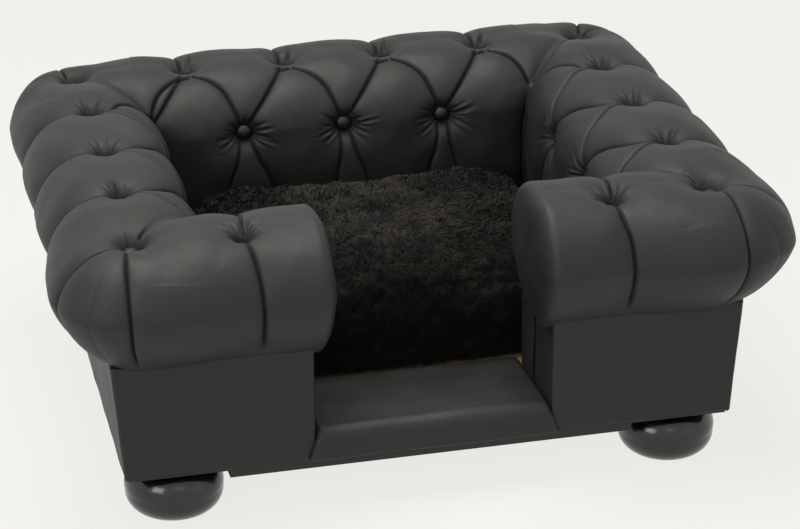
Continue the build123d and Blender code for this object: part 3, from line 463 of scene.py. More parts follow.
class Folds:
    """The pleats and tufts of the whole cover, and how far they move a point of it."""

    def __init__(self, settings):
        self.sizes = settings
        self.pleats, self.tufts = [], []

    def pleat(self, wall, points, depth=1.0, valley=1.0, lap=0.0, fade=(0.06, 0.12), width=1.0):
        """A folded line. Depth, valley and width are shares of the settings, and lap lifts one of its sides."""
        path = smooth_path(points)
        places, _ = wall.surface(path[:, 0], path[:, 1])
        self.pleats.append((places, depth, valley, lap, fade, width))

    def tuft(self, wall, station, girth, depth=1.0, spread=1.0, gathers=(), seed=0, floor=0.0):
        """A button's well, with gathers as (first angle, last angle, count, length) in degrees and millimetres."""
        place, normal = wall.surface(station, girth)
        ahead, _ = wall.surface(station + 1.0, girth)
        along = ahead - place
        if np.linalg.norm(along) < 1e-6:
            along = np.array([*wall.along, 0.0])
        along /= np.linalg.norm(along)
        across = np.cross(along, normal)
        down, _ = wall.surface(station, girth + 1.0)
        if np.dot(across, down - place) < 0:
            across = -across
        chance = np.random.default_rng(seed)
        rays = []
        for first, last, count, length in gathers:
            for angle in np.linspace(first, last, count):
                rays.append((math.radians(angle + chance.uniform(-5, 5)), length * chance.uniform(0.55, 1.1),
                             chance.uniform(0.5, 1.0), chance.uniform(1.0, 1.7), chance.uniform(-0.006, 0.006)))
        self.tufts.append((place, along, across, depth, spread, rays, floor))

    def move(self, places, normals, keep=None):
        """Moves places along their normals and returns them with the share of painted fold shade at each."""
        s = self.sizes
        count = len(places)
        valley_sum, line, lift, fold_shade = (np.zeros(count) for _ in range(4))
        for path, depth, valley, lap, fade, width in self.pleats:
            low, high = path.min(0) - 60, path.max(0) + 60
            near = np.nonzero(((places > low) & (places < high)).all(1))[0]
            if not len(near):
                continue
            points = places[near]
            best = np.full(len(near), 1e9)
            share, side = np.zeros(len(near)), np.zeros(len(near))
            for i, (a, b) in enumerate(zip(path, path[1:])):
                edge = b - a
                length = np.dot(edge, edge)
                if length < 1e-9:
                    continue
                t = np.clip((points - a) @ edge / length, 0, 1)
                away = points - a - t[:, None] * edge
                distance = np.einsum("ij,ij->i", away, away)
                closer = distance < best
                best = np.where(closer, distance, best)
                share = np.where(closer, (i + t) / (len(path) - 1), share)
                cross = np.cross(edge, normals[near])
                side = np.where(closer, np.sign(np.einsum("ij,ij->i", cross, away)), side)
            distance = np.sqrt(best)
            taper = np.clip(share / max(fade[0], 1e-3), 0, 1) * np.clip((1 - share) / max(fade[1], 1e-3), 0, 1)
            taper = taper * taper * (3 - 2 * taper)
            dip = valley * s.valley_depth / MM * np.exp(-distance / (s.valley_spread / MM))
            valley_sum[near] += (dip * (0.35 + 0.65 * taper)) ** 4
            narrow = np.exp(-(distance / (s.pleat_width / MM * width)) ** 1.5)
            line[near] = np.maximum(line[near], depth * s.pleat_depth / MM * narrow * taper)
            # The fold's upper layer stands out over its lower one, and both settle within a few millimetres
            over = np.where(side * np.sign(lap) > 0, 1.0, -0.35)
            lift[near] += abs(lap) * over * np.exp(-distance / 6.0) * (1 - np.exp(-distance / 0.9)) * taper
            # Painted shade along the folded line, and a painted shadow that the upper layer casts on the lower one
            dark = np.exp(-(distance / (1.35 * width)) ** 2.5) * taper * min(depth, 1.0)
            under = 0.4 * np.exp(-distance / 3.5) * (side * np.sign(lap) < 0) * taper * min(depth, 1.0) * (lap != 0)
            fold_shade[near] = np.maximum(fold_shade[near], np.maximum(dark, under))
        valley_depth = valley_sum ** 0.25
        well, gather = np.zeros(count), np.zeros(count)
        for place, along, across, depth, spread, rays, floor in self.tufts:
            near = np.nonzero((np.abs(places - place) < 75).all(1))[0]
            if not len(near):
                continue
            away = places[near] - place
            radius = np.linalg.norm(away, axis=1)
            funnel = np.exp(-(np.maximum(radius - floor, 0) / (s.tuft_throat / MM * spread)) ** 1.6)
            broad = np.exp(-(radius / (s.tuft_spread / MM * spread)) ** 1.35)
            well[near] += (depth * s.tuft_depth / MM * (0.55 * funnel + 0.45 * broad)) ** 3
            # Painted shade in a tuft's throat
            throat = np.exp(-(np.maximum(radius - floor, 0) / (s.tuft_throat / MM * spread * 1.15)) ** 2.0)
            fold_shade[near] = np.maximum(fold_shade[near], 0.95 * throat)
            x, y = away @ along, away @ across
            angle = np.arctan2(y, x)
            for direction, length, strength, width, bend in rays:
                turn = (angle - direction - bend * radius + math.pi) % (2 * math.pi) - math.pi
                off = np.abs(turn) * radius
                begin = floor + 3
                window = (np.clip((radius - begin) / 4, 0, 1) * np.clip((length - radius) / (0.7 * length), 0, 1)
                          * (np.abs(turn) < 1.2))
                wide = width * (0.7 + radius / 40)
                ray = window * (np.exp(-(off / wide) ** 2) - 0.45 * np.exp(-((off - 2.1 * wide) / wide) ** 2))
                gather[near] += strength * s.gather_depth / MM * ray
                # Painted shade along each gather
                fold_shade[near] = np.maximum(fold_shade[near], 0.75 * strength * window * np.exp(-(off / (0.8 * wide)) ** 2))
        inward = (valley_depth**3 + well) ** (1 / 3) + line + gather - lift
        if keep is not None:
            inward = inward * keep
        wave = np.zeros(count)
        chance = np.random.default_rng(5)
        for size, height in ((95, 0.4), (70, 0.3), (60, 0.25), (42, 0.12), (36, 0.1)):
            direction = chance.normal(size=3)
            direction *= 2 * math.pi / size / np.linalg.norm(direction)
            phase = chance.uniform(0, 6.3) + 1.5 * np.sin(places @ direction[[1, 2, 0]] * 0.7)
            wave += height * np.sin(places @ direction + phase)
        return places + normals * (1.2 + wave - inward)[:, None], np.clip(fold_shade, 0, 1)


def mesh_object(name, vertices, faces, material, attributes=None, merge=0.0, smooth=True):
    """A mesh from points in millimetres, shaded smooth, with point attributes."""
    mesh = bpy.data.meshes.new(name)
    mesh.from_pydata([], [], [])
    vertices = np.asarray(vertices, np.float32) * MM
    mesh.vertices.add(len(vertices))
    mesh.vertices.foreach_set("co", vertices.ravel())
    faces = np.asarray(faces, np.int32)
    mesh.loops.add(faces.size)
    mesh.loops.foreach_set("vertex_index", faces.ravel())
    mesh.polygons.add(len(faces))
    mesh.polygons.foreach_set("loop_start", np.arange(0, faces.size, faces.shape[1], dtype=np.int32))
    mesh.polygons.foreach_set("loop_total", np.full(len(faces), faces.shape[1], np.int32))
    mesh.update(calc_edges=True)
    for key, values in (attributes or {}).items():
        layer = mesh.attributes.new(key, "FLOAT", "POINT")
        layer.data.foreach_set("value", np.asarray(values, np.float32))
    mesh.validate()
    if merge:
        work = bmesh.new()
        work.from_mesh(mesh)
        bmesh.ops.remove_doubles(work, verts=work.verts, dist=merge * MM)
        bmesh.ops.dissolve_degenerate(work, edges=work.edges, dist=1e-6)
        work.to_mesh(mesh)
        work.free()
    if smooth:
        mesh.polygons.foreach_set("use_smooth", np.ones(len(mesh.polygons), bool))
    mesh.materials.append(material)
    piece = bpy.data.objects.new(name, mesh)
    bpy.context.scene.collection.objects.link(piece)
    return piece


def grid_faces(rows, columns, start=0, flip=False):
    index = np.arange(rows * columns).reshape(rows, columns) + start
    quads = np.stack([index[:-1, :-1], index[:-1, 1:], index[1:, 1:], index[1:, :-1]], -1).reshape(-1, 4)
    return quads[:, ::-1] if flip else quads


def ring_faces(rows, columns, flip=False):
    """Faces of a grid whose last column joins its first."""
    index = np.arange(rows * columns).reshape(rows, columns)
    after = np.roll(index, -1, 1)
    quads = np.stack([index[:-1], after[:-1], after[1:], index[1:]], -1).reshape(-1, 4)
    return quads[:, [0, 3, 2, 1]] if flip else quads


def face_outward(piece):
    work = bmesh.new()
    work.from_mesh(piece.data)
    bmesh.ops.recalc_face_normals(work, faces=work.faces)
    work.to_mesh(piece.data)
    work.free()


def finish_piece(piece, body, nodes):
    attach(piece, body)
    if nodes:
        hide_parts(*nodes)
    return piece


# The pleats and tufts of the bed, as (station, girth) on each wall, in millimetres
BACK_PITCH = 122.2
ARM_PITCH = 124.0
BACK_TOPS = [BACK_PITCH * k for k in (-1.5, -0.5, 0.5, 1.5)]
BACK_BUTTONS = [BACK_PITCH * k for k in (-1, 0, 1)]
ARM_TOPS = [-ARM_PITCH, 0.0, ARM_PITCH]
ARM_BUTTONS = [-ARM_PITCH / 2, ARM_PITCH / 2]
BUTTON_GIRTH = 117.0
# Girths of the sunk tufts of the top row
BACK_TOP_GIRTH, ARM_TOP_GIRTH, RETURN_TOP_GIRTH = 2, -8, -27
# A corner's tuft lies past the corner by this much, at this girth
CORNER_PAST, CORNER_GIRTH = 11, -14


def lay_folds(settings):
    folds = Folds(settings)
    lip, foot = ARM_SECTION.lip, ARM_SECTION.foot
    # Back: a row of sunk tufts along the crown, a row of buttons on the inner face, diagonals between them
    for i, x in enumerate(BACK_TOPS):
        folds.tuft(BACK, x, BACK_TOP_GIRTH, seed=10 + i, gathers=(
            (-160, -115, 4, 34), (-65, -20, 4, 34), (5, 40, 3, 26), (140, 175, 3, 26)))
        folds.pleat(BACK, [(x - 2, -4), (x - 4, -30), (x - 7, -70), (x - 6, -120), (x - 5, lip)], lap=0.9)
        folds.pleat(BACK, [(x + 8, -6), (x + 11, -24), (x + 12, -52)], depth=0.6, valley=0.3, fade=(0.1, 0.7))
        folds.pleat(BACK, [(x - 16, 27), (x - 4, 29), (x + 8, 27)], depth=1.2, valley=0.9, lap=-2.0,
                    fade=(0.3, 0.3))
        folds.pleat(BACK, [(x - 6, 22), (x - 17, 44), (x - 34, 72), (x - 47, 91), (x - 58, BUTTON_GIRTH - 8)],
                    lap=1.0, fade=(0.05, 0.1))
        if i < 3:
            folds.pleat(BACK, [(x + 6, 26), (x + 17, 32), (x + 30, 43), (x + 41, 59), (x + 48, 78), (x + 54, 96),
                               (x + 59, BUTTON_GIRTH - 8)], lap=-1.0, fade=(0.05, 0.1))
    for i, x in enumerate(BACK_BUTTONS):
        folds.tuft(BACK, x, BUTTON_GIRTH, depth=0.92, spread=1.05, floor=4.0,
                   gathers=((-32, 42, 7, 42), (140, 212, 6, 36), (-112, -68, 4, 30)), seed=30 + i)
        left, right = ((-24, 33), (-12, 27), (-20, 17))[i]
        folds.pleat(BACK, [(x - 5, BUTTON_GIRTH + 8), (x + 0.5 * left, BUTTON_GIRTH + 40), (x + left, 195),
                           (x + 1.3 * left, foot)], lap=1.0, valley=0.7)
        folds.pleat(BACK, [(x + 6, BUTTON_GIRTH + 8), (x + 0.5 * right, BUTTON_GIRTH + 36), (x + right, 195),
                           (x + 1.3 * right, foot)], lap=-1.0, valley=0.7)
    # Inner corners: the mitre, and the diagonals that meet it
    for wall, end, near in ((BACK, 1, BACK_TOPS[-1]), (BACK, -1, BACK_TOPS[0]), (LEFT, 1, ARM_TOPS[-1]),
                            (RIGHT, 1, ARM_TOPS[-1])):
        half = wall.half
        gap = half - abs(near)
        if wall is BACK and end < 0:
            line = [(near - 6, 26), (near - 20, 36), (near - 38, 54), (near - 48, 76), (-(half - 78), 96)]
        elif wall is BACK:
            line = [(near + 6, 26), (near + 20, 33), (near + 34, 46), (near + 44, 66), (half - 78, 92)]
        else:
            line = [(near + 4, 20), (near + 18, 30), (near + 0.25 * gap, 44), (near + 0.33 * gap, 66),
                    (half - 78, 94)]
        folds.pleat(wall, line, lap=-1.0 * end)
    # Arms
    for wall, hand in ((LEFT, -1), (RIGHT, 1)):
        for i, y in enumerate(ARM_TOPS):
            folds.tuft(wall, y, ARM_TOP_GIRTH, gathers=((-50, 55, 8, 36), (150, 205, 3, 22)),
                       seed=50 + i + 5 * hand)
            folds.pleat(wall, [(y, 16), (y + 1, -8), (y - 1, -34)], depth=2.0, width=2.2, valley=1.1,
                        fade=(0.35, 0.45))
            folds.pleat(wall, [(y, -14), (y - 1, -50), (y + 1, -90), (y + 2, -140), (y + 1, lip)], lap=1.6 * hand,
                        valley=1.25)
            folds.pleat(wall, [(y - 1, 2), (y + 1, 20), (y + 12, 40), (y + 30, 58), (y + 45, 76), (y + 54, 94),
                               (y + 60, BUTTON_GIRTH - 8)] if i < 2 else
                        [(y - 1, 2), (y + 1, 16), (y + 6, 26)], lap=-1.4 * hand, valley=1.15)
            if i > 0:
                line = [(y - 4, 8), (y - 12, 30), (y - 28, 60), (y - 44, 88), (y - 58, BUTTON_GIRTH - 6)]
            else:
                line = [(y - 4, 8), (y - 14, 34), (y - 26, 62), (-(CORNER_Y - 80), 96)]
            folds.pleat(wall, line, lap=0.8 * hand, depth=0.7, valley=0.8)
        for i, y in enumerate(ARM_BUTTONS):
            folds.tuft(wall, y, BUTTON_GIRTH, depth=0.92, spread=1.05, floor=4.0,
                       gathers=((-40, 40, 6, 40), (140, 220, 6, 40), (60, 120, 4, 30)), seed=70 + i + 5 * hand)
            for way, low, end in ((1, 26, 34), (-1, 22, 30)):
                folds.pleat(wall, [(y + way * 6, BUTTON_GIRTH + 8), (y + way * 14, BUTTON_GIRTH + 36),
                                   (y + way * low, 195), (y + way * end, foot)], lap=1.0 * way * hand, valley=0.7)
    # Returns
    for side in (-1, 1):
        x = side * RETURN_TUFT
        folds.tuft(FRONT, x, RETURN_TOP_GIRTH, depth=0.95,
                   gathers=((30, 150, 9, 34), (-20, 15, 3, 26), (165, 200, 4, 28)), seed=90 + side)
        bow = 8 if side < 0 else 6
        folds.pleat(FRONT, [(x + 1, -36), (x + side * -2 + 3, -62), (x + bow + 1, -96), (x + bow + 3, -140),
                            (x + bow + 6, lip)], lap=-0.9)
        folds.pleat(FRONT, [(x + 2, -20), (x + 4, 0), (x + 5, 30), (x + 4, 70), (x + 2, 120)], lap=0.8, valley=0.8)
    # Corners: a deep tuft on the crown and pleats that fan out of it, down both walls and along the mitre
    for wall, end in ((BACK, 1), (BACK, -1), (FRONT, 1), (FRONT, -1)):
        half = wall.half
        front = wall is FRONT
        folds.pleat(wall, [(end * (half - 6), -2), (end * (half + 11), -14), (end * (half + 24), -20)], depth=2.0,
                    width=2.4, valley=1.2, fade=(0.35, 0.4))
        folds.tuft(wall, end * (half + CORNER_PAST), CORNER_GIRTH, depth=1.35, spread=1.35,
                   gathers=((20, 160, 5, 26), (-150, -30, 4, 24)), seed=110 + end + 3 * front)
        mitre = ((2, 4), (22, 22), (46, 48), (64, 74), (78, 96), (88, 126), (90, 160), (86, foot))
        folds.pleat(wall, [(end * (half - short), g) for short, g in mitre], depth=1.3, valley=1.15,
                    fade=(0.04, 0.02))
        folds.pleat(wall, [(end * (half + past), g) for past, g in (
            (12, -24), (17, -50), (20, -80), (21, -120), (18, -165), (8, lip))], lap=1.0 * end, valley=0.8)
        arm = LEFT if end < 0 else RIGHT
        turn = -1 if front else 1
        soft = 0.35 if front and end > 0 else 1.0
        folds.pleat(arm, [(turn * (arm.half + past), g) for past, g in (
            (12, -24), (17, -50), (20, -80), (22, -120), (18, -165), (8, lip))],
                    lap=1.0 * end * soft, valley=0.8 * soft, depth=soft)
        quarter = math.pi / 4
        radii = [ROLL_CENTRE - float(wall.section.at(g)[0]) for g in (-60, -90, -130, -180, lip)]
        folds.pleat(wall, [(end * (half + quarter * r), g) for r, g in zip(radii, (-60, -90, -130, -180, lip))],
                    depth=0.12, valley=0.15, fade=(0.4, 0.2))
    return folds


def end_columns(wall, section, start, spacing):
    """Shares of a corner's end zone, from its start to the mitre, close enough for the roll's outer side."""
    outer_length = wall.half - start + math.pi / 4 * (ROLL_OUTER_HALF + 4)
    return np.linspace(0, 1, int(outer_length / spacing) + 2)[1:]


def zone_station(wall, u, start, share, end, lap=7.0):
    """Station of a point of a corner's end zone, on the roll's outer half and on its inner half."""
    outward = np.clip((ROLL_CENTRE - u) / ROLL_OUTER_HALF, 0, 1)
    for pleat, corner, amount in wall.fuller:
        u = u - amount * np.clip((end * wall.half - pleat) / (corner - pleat), 0, 1) * outward
    outer = wall.half - start + math.pi / 4 * np.maximum(ROLL_CENTRE - u, 0)
    beyond = np.maximum(u - ROLL_CENTRE, 0)
    inner = wall.half - start - beyond + lap * np.clip(beyond / 25, 0, 1)
    return start + share * np.where(u <= ROLL_CENTRE, outer, inner)


def mesh_spacing(settings):
    return settings.cover_spacing / MM * 1.0


def girth_rows(section, spacing):
    """Rows of a cover, close together where it shows and wider apart behind the cushion."""
    visible = section.side + 75
    upper = np.arange(section.start, visible, spacing)
    lower = np.arange(visible, section.foot, 2.4 * spacing)
    return np.concatenate([upper, lower, [section.foot]])


def cover_of_run(wall, folds, spacing, start):
    """Grid of a run that has a corner at each end."""
    section = wall.section
    rows = girth_rows(section, spacing)
    u = section.at(rows)[0][:, None]
    middle = np.linspace(-start, start, int(2 * start / spacing) + 1)
    ends = end_columns(wall, section, start, spacing)
    left, right = (zone_station(wall, u, start, ends[None, :], end) for end in (-1, 1))
    stations = np.concatenate([-left[:, ::-1], np.broadcast_to(middle, (len(rows), len(middle))), right], 1)
    places, normals = wall.surface(stations, np.broadcast_to(rows[:, None], stations.shape))
    shape = stations.shape
    moved, fold_shade = folds.move(places.reshape(-1, 3), normals.reshape(-1, 3), lip_keep(section, rows, shape))
    return moved, fold_shade, shape


def lip_keep(section, rows, shape):
    """The folds run out where the cover is stapled under the roll."""
    share = np.clip((rows - section.lip) / 16, 0, 1) * 0.85 + 0.15
    return np.broadcast_to(share[:, None], shape).ravel()


class BED_OT_tufted_run(bpy.types.Operator):
    """Lays the tufted covers of the back and of the two arms"""
    bl_idname = "dogbed.tufted_runs"
    bl_label = "Tufted Runs"

    def execute(self, context):
        settings = context.scene.upholstery
        spacing, folds = mesh_spacing(settings), lay_folds(settings)
        for name, wall, start, flip in (("back_tufted_pad", BACK, LONG_STRAIGHT, True),
                                        ("left_arm_tufted_pad", LEFT, ARM_STRAIGHT, True),
                                        ("right_arm_tufted_pad", RIGHT, ARM_STRAIGHT, False)):
            moved, fold_shade, (rows, columns) = cover_of_run(wall, folds, spacing, start)
            piece = mesh_object(name.replace("_pad", "_cover"), moved, grid_faces(rows, columns, flip=flip),
                                cover_leather(), {"fold_shade": fold_shade})
            finish_piece(piece, "bed", [name])
        return {"FINISHED"}


def return_cover(side, folds, spacing):
    """A front return: its run from the mitre, the rounded roll end and the padding under it."""
    section = RETURN_SECTION
    start = LONG_STRAIGHT
    rows = girth_rows(section, spacing)
    split = int(np.searchsorted(rows, section.side))
    u = section.at(rows)[0][:, None]
    ends = end_columns(FRONT, section, start, spacing)
    corner = zone_station(FRONT, u, start, ends[None, ::-1], side)
    straight = np.linspace(start, ENTRY_HALF_WIDTH, int((start - ENTRY_HALF_WIDTH) / spacing) + 1)
    stations = np.concatenate([corner, np.broadcast_to(straight, (len(rows), len(straight)))], 1)
    places, normals = FRONT.surface(side * stations, np.broadcast_to(rows[:, None], stations.shape))
    keep = lip_keep(section, rows, stations.shape).reshape(stations.shape)
    power = 3.2
    turns = np.linspace(0, math.pi / 2, int(ROLL_OUTER_HALF * 1.25 / spacing))[1:]
    size, ahead = np.cos(turns) ** (2 / power), np.sin(turns) ** (2 / power)
    size[-1] = 0.0
    axis = np.array([-side, 0.0, 0.0])

    def cap(ring_places, ring_normals, centre_u, centre_z, reach, radius, base):
        """Carries the ring of a run's end round to its centre, bulging by reach."""
        none = np.zeros(len(ring_places))
        centre = np.stack([none, FRONT_LINE + centre_u + none, centre_z + none], -1)
        flat = ring_places.copy()
        flat[:, 0] = 0
        out = centre[:, None] + (flat - centre)[:, None] * size[None, :, None]
        out[..., 0] = side * base - side * reach * ahead
        n = (ring_normals[:, None] * (size ** (power - 1))[None, :, None] / radius
             + axis * (ahead ** (power - 1))[None, :, None] / max(reach, 1))
        n /= np.linalg.norm(n, axis=-1, keepdims=True)
        return out, n

    upper = slice(0, split + 1)
    top_places, top_normals = places[upper], normals[upper]
    roll_end = (ROLL_CENTRE, ROLL_CENTRE_HEIGHT, ROLL_END_OVERHANG, 80.0, ENTRY_HALF_WIDTH)
    cap_places, cap_normals = cap(top_places[:, -1], top_normals[:, -1], *roll_end)
    grids = [(np.concatenate([top_places, cap_places], 1), np.concatenate([top_normals, cap_normals], 1),
              np.concatenate([keep[upper], np.repeat(keep[upper][:, -1:], len(turns), 1)], 1))]
    # Under side of the roll's end, from the inner side round to the lip
    drop = ROLL_CENTRE_HEIGHT - CREASE_HEIGHT
    inner = (float(section.at(rows[split])[0]), float(section.at(rows[split])[1]))
    bottom = (ROLL_CENTRE, CREASE_HEIGHT)
    arc = arc_through(inner, (ROLL_CENTRE + ROLL_INNER_HALF * SLOPE, ROLL_CENTRE_HEIGHT - drop * SLOPE), bottom,
                      int(120 / spacing))
    flat_part = np.linspace(bottom, (LIP_INSET, CREASE_HEIGHT), int(36 / spacing))[1:]
    ring = np.concatenate([arc, flat_part])
    ring_tangent = np.gradient(ring, axis=0)
    ring_tangent /= np.linalg.norm(ring_tangent, axis=1, keepdims=True)
    ring_normal = np.stack([-ring_tangent[:, 1], ring_tangent[:, 0]], -1)
    under = np.stack([np.full(len(ring), side * ENTRY_HALF_WIDTH), FRONT_LINE + ring[:, 0], ring[:, 1]], -1)
    under_n = np.stack([np.zeros(len(ring)), ring_normal[:, 0], ring_normal[:, 1]], -1)
    if under_n[len(ring) // 3, 2] > 0:
        under_n = -under_n
    under_cap, under_cap_n = cap(under, under_n, *roll_end)
    inside = under[:, None] + np.array([side, 0, 0]) * np.array([18.0, 9.0, 0.0])[None, :, None]
    grids.append((np.concatenate([inside, under_cap], 1),
                  np.concatenate([np.repeat(under_n[:, None], 3, 1), under_cap_n], 1),
                  np.full((len(ring), 3 + len(turns)), 0.4)))
    # Padding of the inner face, wrapped round its end
    lower = slice(split, len(rows))
    columns = stations.shape[1] - max(int(12 / spacing), 2)
    low_places, low_normals = places[lower, :columns], normals[lower, :columns]
    base = float(stations[-1, columns - 1])
    low_cap, low_cap_n = cap(low_places[:, -1], low_normals[:, -1], BOARD_LINE - 7, low_places[:, -1, 2],
                             base - ENTRY_HALF_WIDTH - 0.2, 20.0, base)
    grids.append((np.concatenate([low_places, low_cap], 1), np.concatenate([low_normals, low_cap_n], 1),
                  np.full((len(rows) - split, columns + len(turns)), 1.0)))
    vertices, faces, fold_shade_values, offset = [], [], [], 0
    for points, directions, kept in grids:
        shape = points.shape[:2]
        moved, fold_shade = folds.move(points.reshape(-1, 3), directions.reshape(-1, 3), kept.ravel())
        vertices.append(moved)
        fold_shade_values.append(fold_shade)
        faces.append(grid_faces(*shape, start=offset))
        offset += len(moved)
    return np.concatenate(vertices), np.concatenate(faces), np.concatenate(fold_shade_values)


class BED_OT_front_returns(bpy.types.Operator):
    """Lays the covers of the two front returns, with their rounded roll ends"""
    bl_idname = "dogbed.front_returns"
    bl_label = "Front Returns"

    def execute(self, context):
        settings = context.scene.upholstery
        spacing, folds = mesh_spacing(settings), lay_folds(settings)
        for name, side in (("left_front_tufted_pad", -1), ("right_front_tufted_pad", 1)):
            vertices, faces, fold_shade = return_cover(side, folds, spacing)
            piece = mesh_object(name.replace("_pad", "_cover"), vertices, faces, cover_leather(), {"fold_shade": fold_shade},
                                merge=0.02)
            face_outward(piece)
            finish_piece(piece, "bed", [name])
        return {"FINISHED"}


def button_mesh(place, normal, radius, height, seed):
    """A covered button: a dome whose cover is drawn in fine creases round its edge."""
    chance = np.random.default_rng(seed)
    rings, spokes = 26, 72
    across = np.cross(normal, [0.3, 0.5, 0.8])
    across /= np.linalg.norm(across)
    other = np.cross(normal, across)
    vertices, turn = [], np.linspace(0, 2 * math.pi, spokes, endpoint=False)
    crimp = sum(chance.uniform(0.3, 1) * np.sin(k * turn + chance.uniform(0, 6.3)) for k in (9, 13, 17, 22)) / 2.5
    for i in range(rings):
        share = i / (rings - 1)
        angle = share * math.pi * 0.72
        r = radius * math.sin(angle)
        h = height * (math.cos(angle) * (1.0 if angle < math.pi / 2 else 0.8))
        wave = 1 + 0.012 * crimp * np.clip((share - 0.35) * 3, 0, 1)
        vertices.append(place + normal * h + (across * (r * wave * np.cos(turn))[:, None]
                                              + other * (r * wave * np.sin(turn))[:, None]))
    return np.concatenate(vertices), ring_faces(rings, spokes, flip=True)


class BED_OT_buttons(bpy.types.Operator):
    """Covers the buttons of the inner faces and those sunk in the rolls"""
    bl_idname = "dogbed.buttons"
    bl_label = "Covered Buttons"

    def execute(self, context):
        colour = linear("#1b1b1e")
        leather = shared_material("button_faux_leather", embossed_faux_leather, colour, 0.42)
        corners = (CORNER_X + CORNER_PAST, -CORNER_X - CORNER_PAST)
        rows = [("back_inner_buttons", BACK, [(x, BUTTON_GIRTH) for x in BACK_BUTTONS]),
                ("left_arm_inner_buttons", LEFT, [(y, BUTTON_GIRTH) for y in ARM_BUTTONS]),
                ("right_arm_inner_buttons", RIGHT, [(y, BUTTON_GIRTH) for y in ARM_BUTTONS]),
                ("back_top_buttons", BACK, [(x, BACK_TOP_GIRTH) for x in BACK_TOPS]),
                ("left_arm_top_buttons", LEFT, [(y, ARM_TOP_GIRTH) for y in ARM_TOPS]),
                ("right_arm_top_buttons", RIGHT, [(y, ARM_TOP_GIRTH) for y in ARM_TOPS]),
                ("left_front_top_button", FRONT, [(-RETURN_TUFT, RETURN_TOP_GIRTH)]),
                ("right_front_top_button", FRONT, [(RETURN_TUFT, RETURN_TOP_GIRTH)]),
                ("corner_buttons", FRONT, [(past, CORNER_GIRTH) for past in corners])]
        for k, (name, wall, spots) in enumerate(rows):
            spots = [wall.surface(s, g) for s, g in spots]
            if name == "corner_buttons":
                spots += [BACK.surface(past, CORNER_GIRTH) for past in corners]
            vertices, faces, offset = [], [], 0
            sink = BUTTON_SINK if "inner" in name else TOP_BUTTON_SINK
            for i, (place, normal) in enumerate(spots):
                v, f = button_mesh(place - normal * sink, normal, BUTTON_RADIUS, BUTTON_HEIGHT, 7 * k + i)
                vertices.append(v)
                faces.append(f + offset)
                offset += len(v)
            piece = mesh_object(name.replace("button", "covered_button"), np.concatenate(vertices),
                                np.concatenate(faces), leather, {"fold_shade": np.zeros(offset)}, merge=0.01)
            finish_piece(piece, "bed", [name])
        return {"FINISHED"}


def covered_panel(name, corners, thickness, spacing, edge):
    """A board under a stretched cover. Corners run anticlockwise from the lower left, seen from outside."""
    a, b, c, d = (np.array(p, float) for p in corners)
    width, height = np.linalg.norm(b - a), np.linalg.norm(d - a)
    normal = np.cross(b - a, d - a)
    normal /= np.linalg.norm(normal)

    def shares(length):
        near = np.linspace(0, edge * 1.6, 9)
        middle = np.linspace(edge * 1.6, length - edge * 1.6, max(int((length - 3 * edge) / spacing), 4))
        return np.concatenate([near, middle[1:-1], length - near[::-1]]) / length

    s, t = np.meshgrid(shares(width), shares(height))
    flat = (a * ((1 - s) * (1 - t))[..., None] + b * (s * (1 - t))[..., None]
            + c * (s * t)[..., None] + d * ((1 - s) * t)[..., None])
    from_edge = np.minimum(np.minimum(s, 1 - s) * width, np.minimum(t, 1 - t) * height)
    share = np.clip(from_edge / edge, 0, 1)
    rise = thickness * np.sqrt(np.clip(1 - (1 - share) ** 2, 0, 1)) - thickness
    x, y = s * width, t * height
    chance = np.random.default_rng(len(name))
    for size, amount in ((90, 0.25), (55, 0.18), (30, 0.08)):
        angle = chance.uniform(0, 6.3)
        rise = rise + share * amount * np.sin(2 * math.pi * (x * math.cos(angle) + y * math.sin(angle)) / size
                                              + chance.uniform(0, 6.3))
    moved = flat + normal * rise[..., None]
    return moved.reshape(-1, 3), grid_faces(*s.shape)


class BED_OT_outer_panels(bpy.types.Operator):
    """Covers the outer panels and the panels that face the entry"""
    bl_idname = "dogbed.outer_panels"
    bl_label = "Outer Panels"

    def execute(self, context):
        leather = cover_leather()
        w, e = BODY_HALF_WIDTH, ENTRY_HALF_WIDTH
        front, rear = FRONT_LINE, WALL_MIDDLE + BODY_HALF_DEPTH
        wf, front_foot, rear_foot = w - SIDE_RAKE, front + END_RAKE, rear - END_RAKE
        top, foot, deck = CREASE_HEIGHT + 2.5, PANEL_FOOT, DECK_HEIGHT
        faces = {
            "outer_back_panel": [(wf, rear_foot, foot), (-wf, rear_foot, foot), (-w, rear, top), (w, rear, top)],
            "outer_left_panel": [(-wf, rear_foot, foot), (-wf, front_foot, foot), (-w, front, top),
                                 (-w, rear, top)],
            "outer_right_panel": [(wf, front_foot, foot), (wf, rear_foot, foot), (w, rear, top), (w, front, top)],
            "left_front_panel": [(-wf, front_foot, foot), (-e, front_foot, foot), (-e, front, top),
                                 (-w, front, top)],
            "right_front_panel": [(e, front_foot, foot), (wf, front_foot, foot), (w, front, top), (e, front, top)],
            "left_entry_panel": [(-e, front + 6, deck), (-e, front + BOARD_LINE, deck),
                                 (-e, front + BOARD_LINE, top), (-e, front + 4, top)],
            "right_entry_panel": [(e, front + BOARD_LINE, deck), (e, front + 6, deck), (e, front + 4, top),
                                  (e, front + BOARD_LINE, top)],
        }
        for name, corners in faces.items():
            vertices, quads = covered_panel(name, corners, PANEL_THICKNESS, PANEL_SPACING, PANEL_EDGE)
            piece = mesh_object(name.replace("panel", "panel_cover"), vertices, quads, leather,
                                {"fold_shade": np.zeros(len(vertices))})
            finish_piece(piece, "bed", [name])
        return {"FINISHED"}


